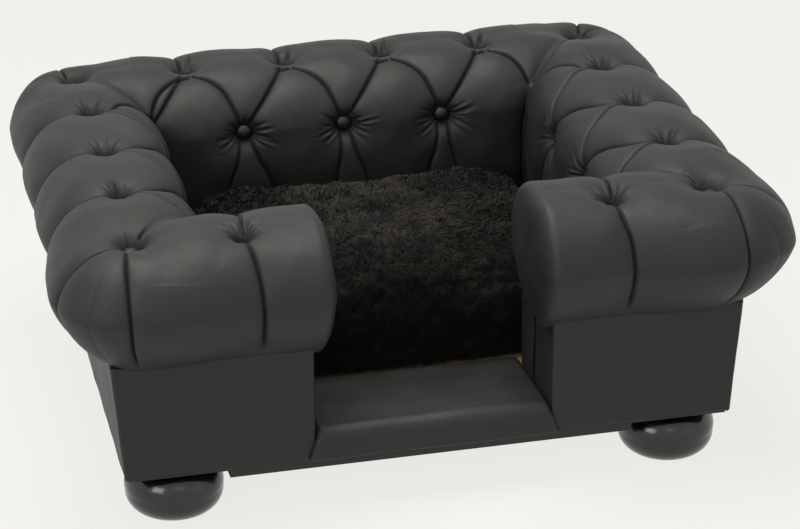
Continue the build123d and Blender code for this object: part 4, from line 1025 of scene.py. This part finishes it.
class BED_OT_sill(bpy.types.Operator):
    """Pads the sill between the returns and wraps it down over the front of the base"""
    bl_idname = "dogbed.sill"
    bl_label = "Padded Sill"

    def execute(self, context):
        half = ENTRY_HALF_WIDTH - SILL_GAP
        front, back = FRONT_LINE - 3.0, FRONT_LINE + RETURN_PAD_DEPTH
        skirt, crown, rear, nose = SILL_FOOT, SILL_CROWN, SILL_REAR, SILL_NOSE
        profile = [np.array([(front + 3.5, skirt), (front + 0.8, skirt + 0.6)]),
                   np.linspace((front, skirt + 2.5), (front, crown - nose), 26),
                   arc_through((front, crown - nose), (front + nose * 0.293, crown - nose * 0.293),
                               (front + nose, crown), 18)[1:],
                   np.linspace((front + nose, crown), (back - 6, rear + 0.3), 90)[1:],
                   arc_through((back - 6, rear + 0.3), (back - 1.8, rear - 1.5), (back, rear - 6), 8)[1:]]
        points = np.concatenate(profile)
        rows = len(points)
        columns = 190
        share = np.sin(np.linspace(-math.pi / 2, math.pi / 2, columns))
        y = np.repeat(points[:, :1], columns, 1)
        z = np.repeat(points[:, 1:], columns, 1)
        lean = np.clip((crown - 6 - z) / (crown - skirt), 0, 1)
        width = half + SILL_FLARE * lean
        x = share[None, :] * width
        from_edge = width - np.abs(x)
        top = z > crown - nose
        girth = np.concatenate([[0], np.cumsum(np.hypot(*np.diff(points, axis=0).T))])[:, None]
        tangent = np.gradient(points, axis=0)
        tangent /= np.linalg.norm(tangent, axis=1, keepdims=True)
        out_y, out_z = -tangent[:, 1:], tangent[:, :1]
        edge = np.clip(from_edge / 7.0, 0, 1)
        drop = np.where(top, 9.0, 3.6) * (1 - np.sqrt(np.clip(1 - (1 - edge) ** 2, 0, 1)))
        puff = 2.4 * (1 - (x / half) ** 4).clip(0) * np.exp(-((girth - 95) / 60) ** 2)
        wave = (0.5 * np.sin(x / 31 + girth / 47) + 0.35 * np.sin(x / 17 - girth / 26 + 1.3)
                + 0.2 * np.sin(girth / 9 + x / 40))
        rise = puff - drop + wave * edge
        y, z = y + out_y * rise, z + out_z * rise
        # Painted shade along the sill's side edges, where it meets the returns
        fold_shade = np.exp(-(from_edge / 1.6) ** 2) * 0.8
        vertices = np.stack([x, y, z], -1).reshape(-1, 3)
        piece = mesh_object("sill_cover", vertices, grid_faces(rows, columns), cover_leather(),
                            {"fold_shade": fold_shade.ravel()})
        finish_piece(piece, "bed", ["sill_pad"])
        return {"FINISHED"}


class BED_OT_bun_feet(bpy.types.Operator):
    """Turns the four lacquered bun feet"""
    bl_idname = "dogbed.bun_feet"
    bl_label = "Bun Feet"

    def execute(self, context):
        lacquer = shared_material("black_lacquer_on_beech", black_lacquer)
        sole, belly, neck = (FOOT_SOLE, 0.0), (FOOT_BELLY, FOOT_BELLY_HEIGHT), (FOOT_NECK, FOOT_NECK_HEIGHT)
        low_bulge = (FOOT_SOLE + (FOOT_BELLY - FOOT_SOLE) * 0.72, FOOT_BELLY_HEIGHT * 0.25)
        high_bulge = (FOOT_NECK + (FOOT_BELLY - FOOT_NECK) * 0.62,
                      FOOT_BELLY_HEIGHT + (FOOT_NECK_HEIGHT - FOOT_BELLY_HEIGHT) * 0.78)
        lower, upper = arc_through(sole, low_bulge, belly, 22), arc_through(belly, high_bulge, neck, 22)[1:]
        profile = np.concatenate([[(0.0, 0.3), (14.0, 0.3), (26.5, 0.2)], lower, upper,
                                  [(35.6, 55.9), (35.6, 57.4), (35.0, 57.9), (20.0, 57.95), (0.0, 57.95)]])
        spokes = 128
        turn = np.linspace(0, 2 * math.pi, spokes, endpoint=False)
        faces = ring_faces(len(profile), spokes)
        for name in ("front_left_foot", "front_right_foot", "rear_left_foot", "rear_right_foot"):
            low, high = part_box(name)
            cx, cy = (low.x + high.x) / 2 / MM, (low.y + high.y) / 2 / MM
            x = cx + profile[:, :1] * np.cos(turn)
            y = cy + profile[:, :1] * np.sin(turn)
            z = np.repeat(profile[:, 1:], spokes, 1)
            piece = mesh_object(name.replace("foot", "bun_foot"), np.stack([x, y, z], -1).reshape(-1, 3), faces,
                                lacquer, merge=0.01)
            finish_piece(piece, "bed", [name])
        return {"FINISHED"}


def cushion_form(low, high, inset, rows=72, columns=200):
    """The cushion's closed form: crowned, with sides that draw in between its corners."""
    cx, cy = (low.x + high.x) / 2 / MM, (low.y + high.y) / 2 / MM
    half_x, half_y = (high.x - low.x) / 2 / MM, (high.y - low.y) / 2 / MM
    foot = low.z / MM + min(max(inset, 1.0), 3.0)
    height = high.z / MM - inset - foot
    shoulder = 105.0
    levels = (0, 0.0, 0.05, 0.16, 0.4, 0.62, 0.78, 0.88, 0.935, 0.97, 1, 1.012)
    insets = (1.4, 0.05, 0.02, 0.0, 0, 0.03, 0.08, 0.16, 0.27, 0.45, 1, 1.4)
    steps = np.cumsum(np.hypot(np.diff(insets) * shoulder, np.diff(levels) * height))
    steps = np.concatenate([[0], steps])
    at = np.linspace(0, steps[-1], rows)
    # Its own weight squares it off at the foot, and the rest of it is rounded
    side, rise = np.interp(at, steps, insets), np.interp(at, steps, levels)
    rounded = np.clip(rise / 0.3, 0, 1)
    inward = inset + shoulder * (side + (smoothed(side, 2) - side) * rounded)
    level = foot + height * (rise + (smoothed(rise, 2) - rise) * rounded)
    turn = np.linspace(0, 2 * math.pi, columns, endpoint=False)
    c, s = np.cos(turn), np.sin(turn)
    reach = (np.abs(c) ** 6.0 + np.abs(s) ** 6.0) ** (-1 / 6.0)
    ring_x, ring_y = c * reach, s * reach
    draw = 5.0 * (1 - np.minimum(np.abs(ring_x), np.abs(ring_y)) ** 2)
    # It is pressed full against the back of the well, and is rounder over the entry
    lean = 1 - 0.45 * ring_y
    rings = []
    for inset_now, z in zip(inward, level):
        hx = max(half_x - inset_now, 0.5)
        hy = np.maximum(half_y - inset - (inset_now - inset) * lean, 0.5)
        pull = draw * min(1.0, max(z - foot, 0) / 50)
        x = ring_x * (hx - np.where(np.abs(ring_x) > 0.98, pull, 0) * hx / half_x)
        y = ring_y * (hy - np.where(np.abs(ring_y) > 0.98, pull, 0) * hy / half_y)
        rings.append(np.stack([cx + x, cy + y, np.full(columns, z)], -1))
    centre = np.array([[cx, cy, level[0]], [cx, cy, level[-1] + 0.5]])
    rings = [np.repeat(centre[:1], columns, 0)] + rings + [np.repeat(centre[1:], columns, 0)]
    return np.concatenate(rings), ring_faces(len(rings), columns)


def stuffed(piece, low, high, pressure, reach, room):
    """Blows a sewn case up like a filled cushion, keeps it in its space and leaves plain mesh."""
    remesh = piece.modifiers.new("even_cloth", "REMESH")
    remesh.mode, remesh.voxel_size = "VOXEL", 0.0055
    settle(piece)
    start = point_places(piece.data)
    cloth = piece.modifiers.new("filling", "CLOTH")
    cloth.settings.use_pressure = True
    cloth.settings.uniform_pressure_force = pressure
    cloth.settings.effector_weights.gravity = 0.0
    cloth.settings.quality = 4
    cloth.point_cache.frame_start, cloth.point_cache.frame_end = 1, 20
    for at in range(1, 21):
        bpy.context.scene.frame_set(at)
    settle(piece)
    bpy.context.scene.frame_set(1)
    moved = point_places(piece.data) - start
    size = np.linalg.norm(moved, axis=1, keepdims=True)
    # The foot of it lies heavy on the deck and keeps its place
    free = np.clip((start[:, 2:] - start[:, 2].min()) / 30, 0.1, 1)
    places = start + moved * free * np.minimum(1, reach / np.maximum(size, 1e-6))
    lowest, highest = np.array(low) / MM + room, np.array(high) / MM - room
    lowest[2] = start[:, 2].min()
    places = np.clip(places, lowest, highest)
    piece.data.vertices.foreach_set("co", (places * MM).astype(np.float32).ravel())
    piece.modifiers.new("finer", "SUBSURF").levels = 1
    settle(piece)
    piece.data.polygons.foreach_set("use_smooth", np.ones(len(piece.data.polygons), bool))


def settle(piece):
    """Turns a piece's modifiers into its mesh."""
    made = bpy.data.meshes.new_from_object(piece.evaluated_get(bpy.context.evaluated_depsgraph_get()))
    piece.modifiers.clear()
    piece.data = made


def point_places(mesh):
    places = np.empty(len(mesh.vertices) * 3, np.float32)
    mesh.vertices.foreach_get("co", places)
    return places.reshape(-1, 3) / MM


class BED_OT_fur_cushion(bpy.types.Operator):
    """Sews and fills the loose cushion and lays the pile of its fur"""
    bl_idname = "dogbed.fur_cushion"
    bl_label = "Fur Cushion"

    def execute(self, context):
        settings = context.scene.fur
        low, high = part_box("cushion_cover")
        backing = shared_material("knitted_fur_backing", pile_fibre, linear("#050506"), linear("#1c1916"))
        pile = shared_material("acrylic_pile", pile_fibre, tuple(settings.fur_colour), linear("#4c473e"))
        case = shared_material("fibre_filled_case", spunbond_cloth, linear("#e6e4de"), linear("#cfccc4"))
        cover = mesh_object("cushion_fur_backing", *cushion_form(low, high, 1.5), backing,
                            merge=0.01)
        stuffed(cover, low, high, 4.0, 5.0, -1.0)
        brush_up(cover.data, low.z / MM)
        finish_piece(cover, "cushion", ["cushion_cover"])
        filling = mesh_object("cushion_fibre_case", *cushion_form(low, high, 26.0), case, merge=0.01)
        stuffed(filling, low, high, 4.0, 8.0, 14.0)
        finish_piece(filling, "cushion", ["cushion_filling"])
        for piece in lay_pile(cover.data, low, high, settings, pile):
            finish_piece(piece, "cushion", ["cushion_cover"])
        return {"FINISHED"}


def patches(places, size, seed):
    """Smooth noise from about minus one to one, in patches of the given size in millimetres."""
    shift = Vector((17.3 * seed, 5.1 * seed, 2.7))
    return np.array([noise.noise(Vector(place) / size + shift) for place in places.tolist()]) * 1.6


def brushing(places):
    """How far the nap is brushed up, from zero, laid flat and dark, to one, raised and pale."""
    return np.clip(0.56 + 0.45 * patches(places, 46, 1) + 0.3 * patches(places, 19, 2), 0, 1)


def brush_up(mesh, foot):
    """Raises the nap in soft tufts a finger's breadth across, and notes where it is pale: in random brushed
    patches, times a painted top light on faces that look up.
    """
    places = point_places(mesh)
    normals = np.empty(len(mesh.vertices) * 3, np.float32)
    mesh.vertex_normals.foreach_get("vector", normals)
    normals = normals.reshape(-1, 3)
    above = np.clip((places[:, 2] - foot - 6) / 12, 0, 1)
    tufts = 2.6 * patches(places, 24, 3) + 1.5 * patches(places, 10, 4)
    places = places + normals * (tufts * above)[:, None]
    mesh.vertices.foreach_set("co", (places * MM).astype(np.float32).ravel())
    # Painted top light: faces that look up get the pale colour, and sides and undersides stay dark
    crown = np.clip(normals[:, 2] * 1.5 - 0.25, 0, 1)
    bloom_and_top_light = mesh.attributes.new("bloom_and_top_light", "FLOAT", "POINT")
    bloom_and_top_light.data.foreach_set("value", (crown * brushing(places)).astype(np.float32))


def lay_pile(mesh, low, high, settings, material):
    """Locks of hair, each a tapering ribbon that leans with its neighbours."""
    chance = np.random.default_rng(21)
    vertices = point_places(mesh)
    faces = np.empty(len(mesh.loops), np.int32)
    mesh.loops.foreach_get("vertex_index", faces)
    faces = faces.reshape(-1, 4)
    quads = vertices[faces]
    cross = np.cross(quads[:, 2] - quads[:, 0], quads[:, 3] - quads[:, 1])
    area = np.linalg.norm(cross, axis=1) / 2
    middle = quads.mean(1)
    normal = cross / np.maximum(np.linalg.norm(cross, axis=1, keepdims=True), 1e-9)
    centre = (vertices.min(0) + vertices.max(0)) / 2
    foot = low.z / MM
    # Less of it is laid where the cushion rests, and most on the crown and the front
    weight = area * np.where((middle[:, 2] < foot + 4) | (normal[:, 2] < -0.4), 0.0, 1.0) * np.where(
        (middle[:, 1] < centre[1] - 90) | (normal[:, 2] > 0.3), 1.0, 0.45)
    count = settings.hair_count // 1
    chosen = chance.choice(len(faces), count, p=weight / weight.sum())
    a, b = chance.random((2, count, 1))
    q = quads[chosen]
    root = q[:, 0] * (1 - a) * (1 - b) + q[:, 1] * a * (1 - b) + q[:, 2] * a * b + q[:, 3] * (1 - a) * b
    up = normal[chosen]
    locks = chance.choice(count, count // 26, replace=False)
    lock_root = root[locks]
    nearest = np.zeros(count, int)
    for first in range(0, count, 2000):
        part = root[first:first + 2000]
        nearest[first:first + 2000] = ((part[:, None] - lock_root[None]) ** 2).sum(-1).argmin(1)
    wave = (np.sin(root[:, 0] / 37 + 1.5 * np.sin(root[:, 1] / 52)) + np.sin(root[:, 1] / 31 + root[:, 0] / 71))
    flow = np.stack([0.5 + 0.9 * np.sin(root[:, 1] / 61 + 1.2) + 0.5 * np.sin(root[:, 0] / 43),
                     -0.7 + 0.8 * np.cos(root[:, 0] / 57 + 0.4), np.full(count, -1.1)], -1)
    lock_lean = chance.normal(size=(len(locks), 3)) * 0.22
    lean = flow * 0.5 + lock_lean[nearest]
    lean -= up * np.einsum("ij,ij->i", lean, up)[:, None]
    length = settings.pile_length / MM * chance.uniform(0.65, 1.1, (count, 1)) * (1 + 0.12 * wave[:, None])
    own = root + (up * 0.52 + lean * 0.6) * length
    gathered = lock_root[nearest] + (up[locks][nearest] * 0.56 + lean * 0.6) * length
    tip = 0.84 * own + 0.16 * gathered + chance.normal(size=(count, 3)) * 0.6
    bend = root * 0.5 + tip * 0.5 + up * length * 0.2
    side = np.cross(tip - root, up + 0.5 * chance.normal(size=(count, 3)))
    side /= np.maximum(np.linalg.norm(side, axis=1, keepdims=True), 1e-9)
    limit_low = np.array(low) / MM - 6
    limit_high = np.array(high) / MM + 9
    limit_low[2] = foot + 0.5
    points = []
    for share, width in ((0, 0.32), (0.5, 0.27), (1, 0.06)):
        place = (1 - share) ** 2 * root + 2 * share * (1 - share) * bend + share**2 * tip
        place = np.clip(place, limit_low, limit_high)
        points += [place - side * width, place + side * width]
    points = np.stack(points, 1)
    # Shading follows the lie of the pile, so the hairs read as a soft nap and not as blades
    soft = up * 0.95 + 0.22 * lean + 0.03 * chance.normal(size=(count, 3))
    soft /= np.linalg.norm(soft, axis=1, keepdims=True)
    # Painted top light: hairs on faces that look up get the pale colour. Each hair also grows paler from root to
    # tip.
    crown = np.clip(up[:, 2] * 1.5 - 0.25, 0, 1)
    brushed = np.clip(brushing(root) + 0.1 * chance.normal(size=len(locks))[nearest], 0, 1)
    bloom_and_top_light = (crown * brushed)[:, None] * np.array([[0.3, 0.3, 0.7, 0.7, 1.0, 1.0]])
    pieces, per = [], 30000
    for k, first in enumerate(range(0, count, per)):
        part = points[first:first + per]
        base = np.arange(len(part))[:, None, None] * 6
        blades = (base + np.array([[0, 1, 3, 2], [2, 3, 5, 4]])[None]).reshape(-1, 4)
        piece = mesh_object(f"cushion_pile_{k + 1}", part.reshape(-1, 3), blades, material,
                            {"bloom_and_top_light": bloom_and_top_light[first:first + per].ravel()})
        piece.data.normals_split_custom_set_from_vertices(np.repeat(soft[first:first + per], 6, 0))
        pieces.append(piece)
    return pieces


def foam_core(wall, first, last):
    """A closed core between two stations. A station beyond the corner is mitred, and so is its end."""
    wall = Wall(wall.origin, wall.inward, wall.along, wall.half, CoreSection())
    rows = wall.section.girth
    u = wall.section.at(rows)[0][:, None]
    start = min(wall.half - 65.0, LONG_STRAIGHT)
    columns = []
    if first < -wall.half:
        columns.append(-zone_station(wall, u, start, np.linspace(1, 0, 34)[None, :-1], -1, 0.0))
    low, high = max(first, -start), min(last, start)
    if high > low:
        straight = np.linspace(low, high, int((high - low) / 6) + 2)
        columns.append(np.broadcast_to(straight, (len(rows), len(straight))))
    else:
        columns.append(np.full((len(rows), 1), low if last > 0 else high))
    if last > wall.half:
        columns.append(zone_station(wall, u, start, np.linspace(0, 1, 34)[None, 1:], 1, 0.0))
    stations = np.concatenate(columns, 1)
    places, normals = wall.surface(stations, np.broadcast_to(rows[:, None], stations.shape))
    # The hot wire leaves faint waves on a cut block
    cut = 0.35 * np.sin(stations / 9 + rows[:, None] / 60) + 0.2 * np.sin(stations / 4.3)
    places = places + normals * (cut - 0.55)[..., None]
    count = places.shape[1]
    ends = np.stack([places[:, 0].mean(0), places[:, -1].mean(0)])
    faces = grid_faces(len(rows), count)
    fans = []
    for k, column in enumerate((0, count - 1)):
        ring = np.arange(len(rows) - 1) * count + column
        centre = np.full(len(ring), places.shape[0] * count + k)
        fans.append(np.stack([ring, ring + count, centre, centre], -1))
    return np.concatenate([places.reshape(-1, 3), ends]), faces, np.concatenate(fans)


class BED_OT_foam_cores(bpy.types.Operator):
    """Cuts the firm foam cores that the rolls are stuffed round"""
    bl_idname = "dogbed.foam_cores"
    bl_label = "Foam Cores"

    def execute(self, context):
        foam = shared_material("polyurethane_foam", upholstery_foam)
        end, far = ENTRY_HALF_WIDTH + 4.6, 1000.0
        for name, wall, first, last in (("back_roll_core", BACK, -far, far),
                                        ("left_arm_roll_core", LEFT, -far, far),
                                        ("right_arm_roll_core", RIGHT, -far, far),
                                        ("left_front_roll_core", FRONT, -far, -end),
                                        ("right_front_roll_core", FRONT, end, far)):
            vertices, quads, fans = foam_core(wall, first, last)
            piece = mesh_object(name.replace("core", "foam_core"), vertices, np.concatenate([quads, fans]), foam,
                                merge=0.02)
            face_outward(piece)
            finish_piece(piece, "bed", [name])
        return {"FINISHED"}


class BED_OT_dust_cloth(bpy.types.Operator):
    """Stretches the dust cover under the base, cut away at the feet"""
    bl_idname = "dogbed.dust_cloth"
    bl_label = "Dust Cover"

    def execute(self, context):
        cloth = shared_material("spunbond_dust_cloth", spunbond_cloth, linear("#161616"), linear("#0c0c0c"))
        low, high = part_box("dust_cover")
        half_x, half_y = (high.x - low.x) / 2 / MM, (high.y - low.y) / 2 / MM
        edge_x, edge_y = CLOTH_CUT_X, CLOTH_CUT_Y
        xs, ys = (np.unique(np.concatenate([np.linspace(-edge, edge, count), np.linspace(edge, half, 18),
                                            -np.linspace(edge, half, 18)]))
                  for edge, half, count in ((edge_x, half_x, 76), (edge_y, half_y, 58)))
        x, y = np.meshgrid(xs, ys)
        within = np.clip(np.minimum(half_x - 24 - np.abs(x), half_y - 24 - np.abs(y)) / 120, 0, 1)
        # It hangs a little between the battens, with pulls that run out from the staples
        z = CLOTH_LEVEL - CLOTH_DROP * within * (2 - within)
        z = z - 0.25 * np.sin(x / 7) * np.exp(-(half_y - np.abs(y)) / 22)
        z = z - 0.25 * np.sin(y / 7) * np.exp(-(half_x - np.abs(x)) / 22)
        faces = grid_faces(len(ys), len(xs))
        middle_x, middle_y = x.ravel()[faces].mean(1), y.ravel()[faces].mean(1)
        faces = faces[(np.abs(middle_x) < edge_x) | (np.abs(middle_y) < edge_y)]
        used = np.unique(faces)
        vertices = np.stack([x, y + WALL_MIDDLE, z], -1).reshape(-1, 3)[used]
        piece = mesh_object("stretched_dust_cover", vertices, np.searchsorted(used, faces), cloth)
        finish_piece(piece, "bed", ["dust_cover"])
        return {"FINISHED"}


class BED_OT_hidden_frame(bpy.types.Operator):
    """Finishes the timber and the fixings that the frame brings"""
    bl_idname = "dogbed.hidden_frame"
    bl_label = "Timber and Fixings"

    def execute(self, context):
        pine = shared_material("planed_pine", sawn_timber, linear("#c9a270"), linear("#a97d4c"), 0.006)
        ply = shared_material("birch_plywood", sawn_timber, linear("#c7a77c"), linear("#b08f63"), 0.004)
        stained = shared_material("black_stained_pine", sawn_timber, linear("#0d0b09"), linear("#171310"), 0.006,
                                  0.5)
        zinc = shared_material("zinc_plated_steel", zinc_plated_steel)
        for name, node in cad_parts.items():
            if name in ("hanger_bolts", "tee_nuts"):
                finish = zinc
            elif name.endswith("batten") or name == "corner_blocks":
                finish = stained
            elif name.endswith("board"):
                finish = ply
            else:
                finish = pine
            node.data.materials.clear()
            node.data.materials.append(finish)
        return {"FINISHED"}


def seen_straight(tree):
    """One for what the camera sees itself, in a gloss or through something clear, and zero for what lights."""
    path = add_node(tree, "LightPath").outputs
    either = add_node(tree, "Math", {"operation": "MAXIMUM"},
                      {0: path["Is Camera Ray"], 1: path["Is Glossy Ray"]})
    return add_node(tree, "Math", {"operation": "MAXIMUM"},
                    {0: either.outputs[0], 1: path["Is Transmission Ray"]}).outputs[0]


class BED_OT_stage(bpy.types.Operator):
    """Sets up the floor, the lights and the camera"""
    bl_idname = "dogbed.stage"
    bl_label = "Stage"

    def execute(self, context):
        scene, settings = context.scene, context.scene.stage
        camera = bpy.data.objects.new("camera", bpy.data.cameras.new("camera"))
        scene.collection.objects.link(camera)
        camera.data.sensor_width = 36.0
        camera.data.lens = settings.lens
        camera.data.clip_start, camera.data.clip_end = 0.05, 60
        turn, tilt, roll = settings.camera_turn
        ahead = Vector((math.sin(turn) * math.cos(tilt), math.cos(turn) * math.cos(tilt), -math.sin(tilt)))
        right = Vector((math.cos(turn), -math.sin(turn), 0))
        up = right.cross(ahead)
        right, up = math.cos(roll) * right + math.sin(roll) * up, -math.sin(roll) * right + math.cos(roll) * up
        camera.matrix_world = (Matrix.Translation(settings.camera_place)
                               @ Matrix((right, up, -ahead)).transposed().to_4x4())
        scene.camera = camera
        scene.view_settings.view_transform = "Standard"

        # A wide floor of seamless paper, which leaves the bed open to view from every side
        vertices = [(x, y, FLOOR_LEVEL) for y in (-FLOOR_REACH, FLOOR_REACH) for x in (-FLOOR_REACH, FLOOR_REACH)]
        paper, tree, place = new_material("seamless_paper")
        colour = tuple(settings.floor_colour)
        tooth = add_node(tree, "TexNoise", {}, {"Vector": place}, Scale=1 / 0.003, Detail=3.0)
        tint = add_node(tree, "Mix", {"data_type": "RGBA"}, {0: tooth.outputs["Fac"]},
                        _6=colour, _7=tuple(min(1, c * 1.03) for c in colour[:3]) + (1.0,))
        matt = add_node(tree, "BsdfPrincipled", {}, {"Base Color": tint.outputs[2]}, Roughness=0.9)
        glow = add_node(tree, "Emission", {}, {"Color": tint.outputs[2]}, Strength=1.0)
        part = add_node(tree, "Math", {"operation": "MULTIPLY"}, {0: seen_straight(tree)}, _1=0.86)
        mixed = add_node(tree, "MixShader", {},
                         {0: part.outputs[0], 1: matt.outputs["BSDF"], 2: glow.outputs["Emission"]})
        add_node(tree, "OutputMaterial", {}, {"Surface": mixed.outputs[0]})
        floor = mesh_object("seamless_paper", vertices, grid_faces(2, 2), paper)

        world = bpy.data.worlds.new("studio")
        scene.world = world
        world.use_nodes = True
        tree = world.node_tree
        tree.nodes.clear()
        soft = add_node(tree, "Background", {}, {}, Color=linear("#f4f4f6"), Strength=0.12)
        seen = add_node(tree, "Background", {}, {}, Color=linear("#f4f3f1"), Strength=1.0)
        mixed = add_node(tree, "MixShader", {}, {0: seen_straight(tree), 1: soft.outputs[0], 2: seen.outputs[0]})
        add_node(tree, "OutputWorld", {}, {"Surface": mixed.outputs[0]})
        for name, place, aim, size, power, tint_code in (
            ("overhead_softbox", (-0.3, 0.0, 2.3), (0, 0, 0.2), 1.6, 44.0, "#fffdf8"),
            ("side_softbox", (-2.2, -1.9, 1.6), (0, 0, 0.2), 1.2, 21.0, "#ffffff"),
            ("camera_softbox", (0.0, -2.8, 2.4), (0, 0.1, 0.2), 1.2, 3.0, "#ffffff"),
            ("front_fill", (2.2, -2.4, 1.1), (0, 0, 0.15), 1.6, 1.5, "#f4f6ff"),
        ):
            lamp = bpy.data.lights.new(name, "AREA")
            lamp.shape, lamp.size, lamp.energy = "SQUARE", size, power
            lamp.color = linear(tint_code)[:3]
            holder = bpy.data.objects.new(name, lamp)
            scene.collection.objects.link(holder)
            holder.location = place
            holder.rotation_mode = "QUATERNION"
            holder.rotation_quaternion = (Vector(aim) - Vector(place)).to_track_quat("-Z", "Y")
        return {"FINISHED"}


class BED_PT_panel(bpy.types.Panel):
    bl_label = "Dog Bed"
    bl_idname = "BED_PT_panel"
    bl_space_type = "VIEW_3D"
    bl_region_type = "UI"
    bl_category = "Dog Bed"

    def draw(self, context):
        for step in STEPS:
            self.layout.operator(step.bl_idname)
        for group in (context.scene.upholstery, context.scene.fur, context.scene.stage):
            for key in group.__annotations__:
                self.layout.prop(group, key)


STEPS = (BED_OT_stage, BED_OT_hidden_frame, BED_OT_tufted_run, BED_OT_front_returns, BED_OT_buttons,
         BED_OT_outer_panels, BED_OT_sill, BED_OT_foam_cores, BED_OT_dust_cloth, BED_OT_bun_feet,
         BED_OT_fur_cushion)
CLASSES = (UpholsterySettings, FurSettings, StageSettings, *STEPS, BED_PT_panel)


def register():
    for each in CLASSES:
        bpy.utils.register_class(each)
    bpy.types.Scene.upholstery = PointerProperty(type=UpholsterySettings)
    bpy.types.Scene.fur = PointerProperty(type=FurSettings)
    bpy.types.Scene.stage = PointerProperty(type=StageSettings)


def unregister():
    del bpy.types.Scene.upholstery, bpy.types.Scene.fur, bpy.types.Scene.stage
    for each in reversed(CLASSES):
        bpy.utils.unregister_class(each)


def main():
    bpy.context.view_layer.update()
    register()
    for step in STEPS:
        group, name = step.bl_idname.split(".")
        getattr(getattr(bpy.ops, group), name)()


if __name__ == "__main__":
    main()
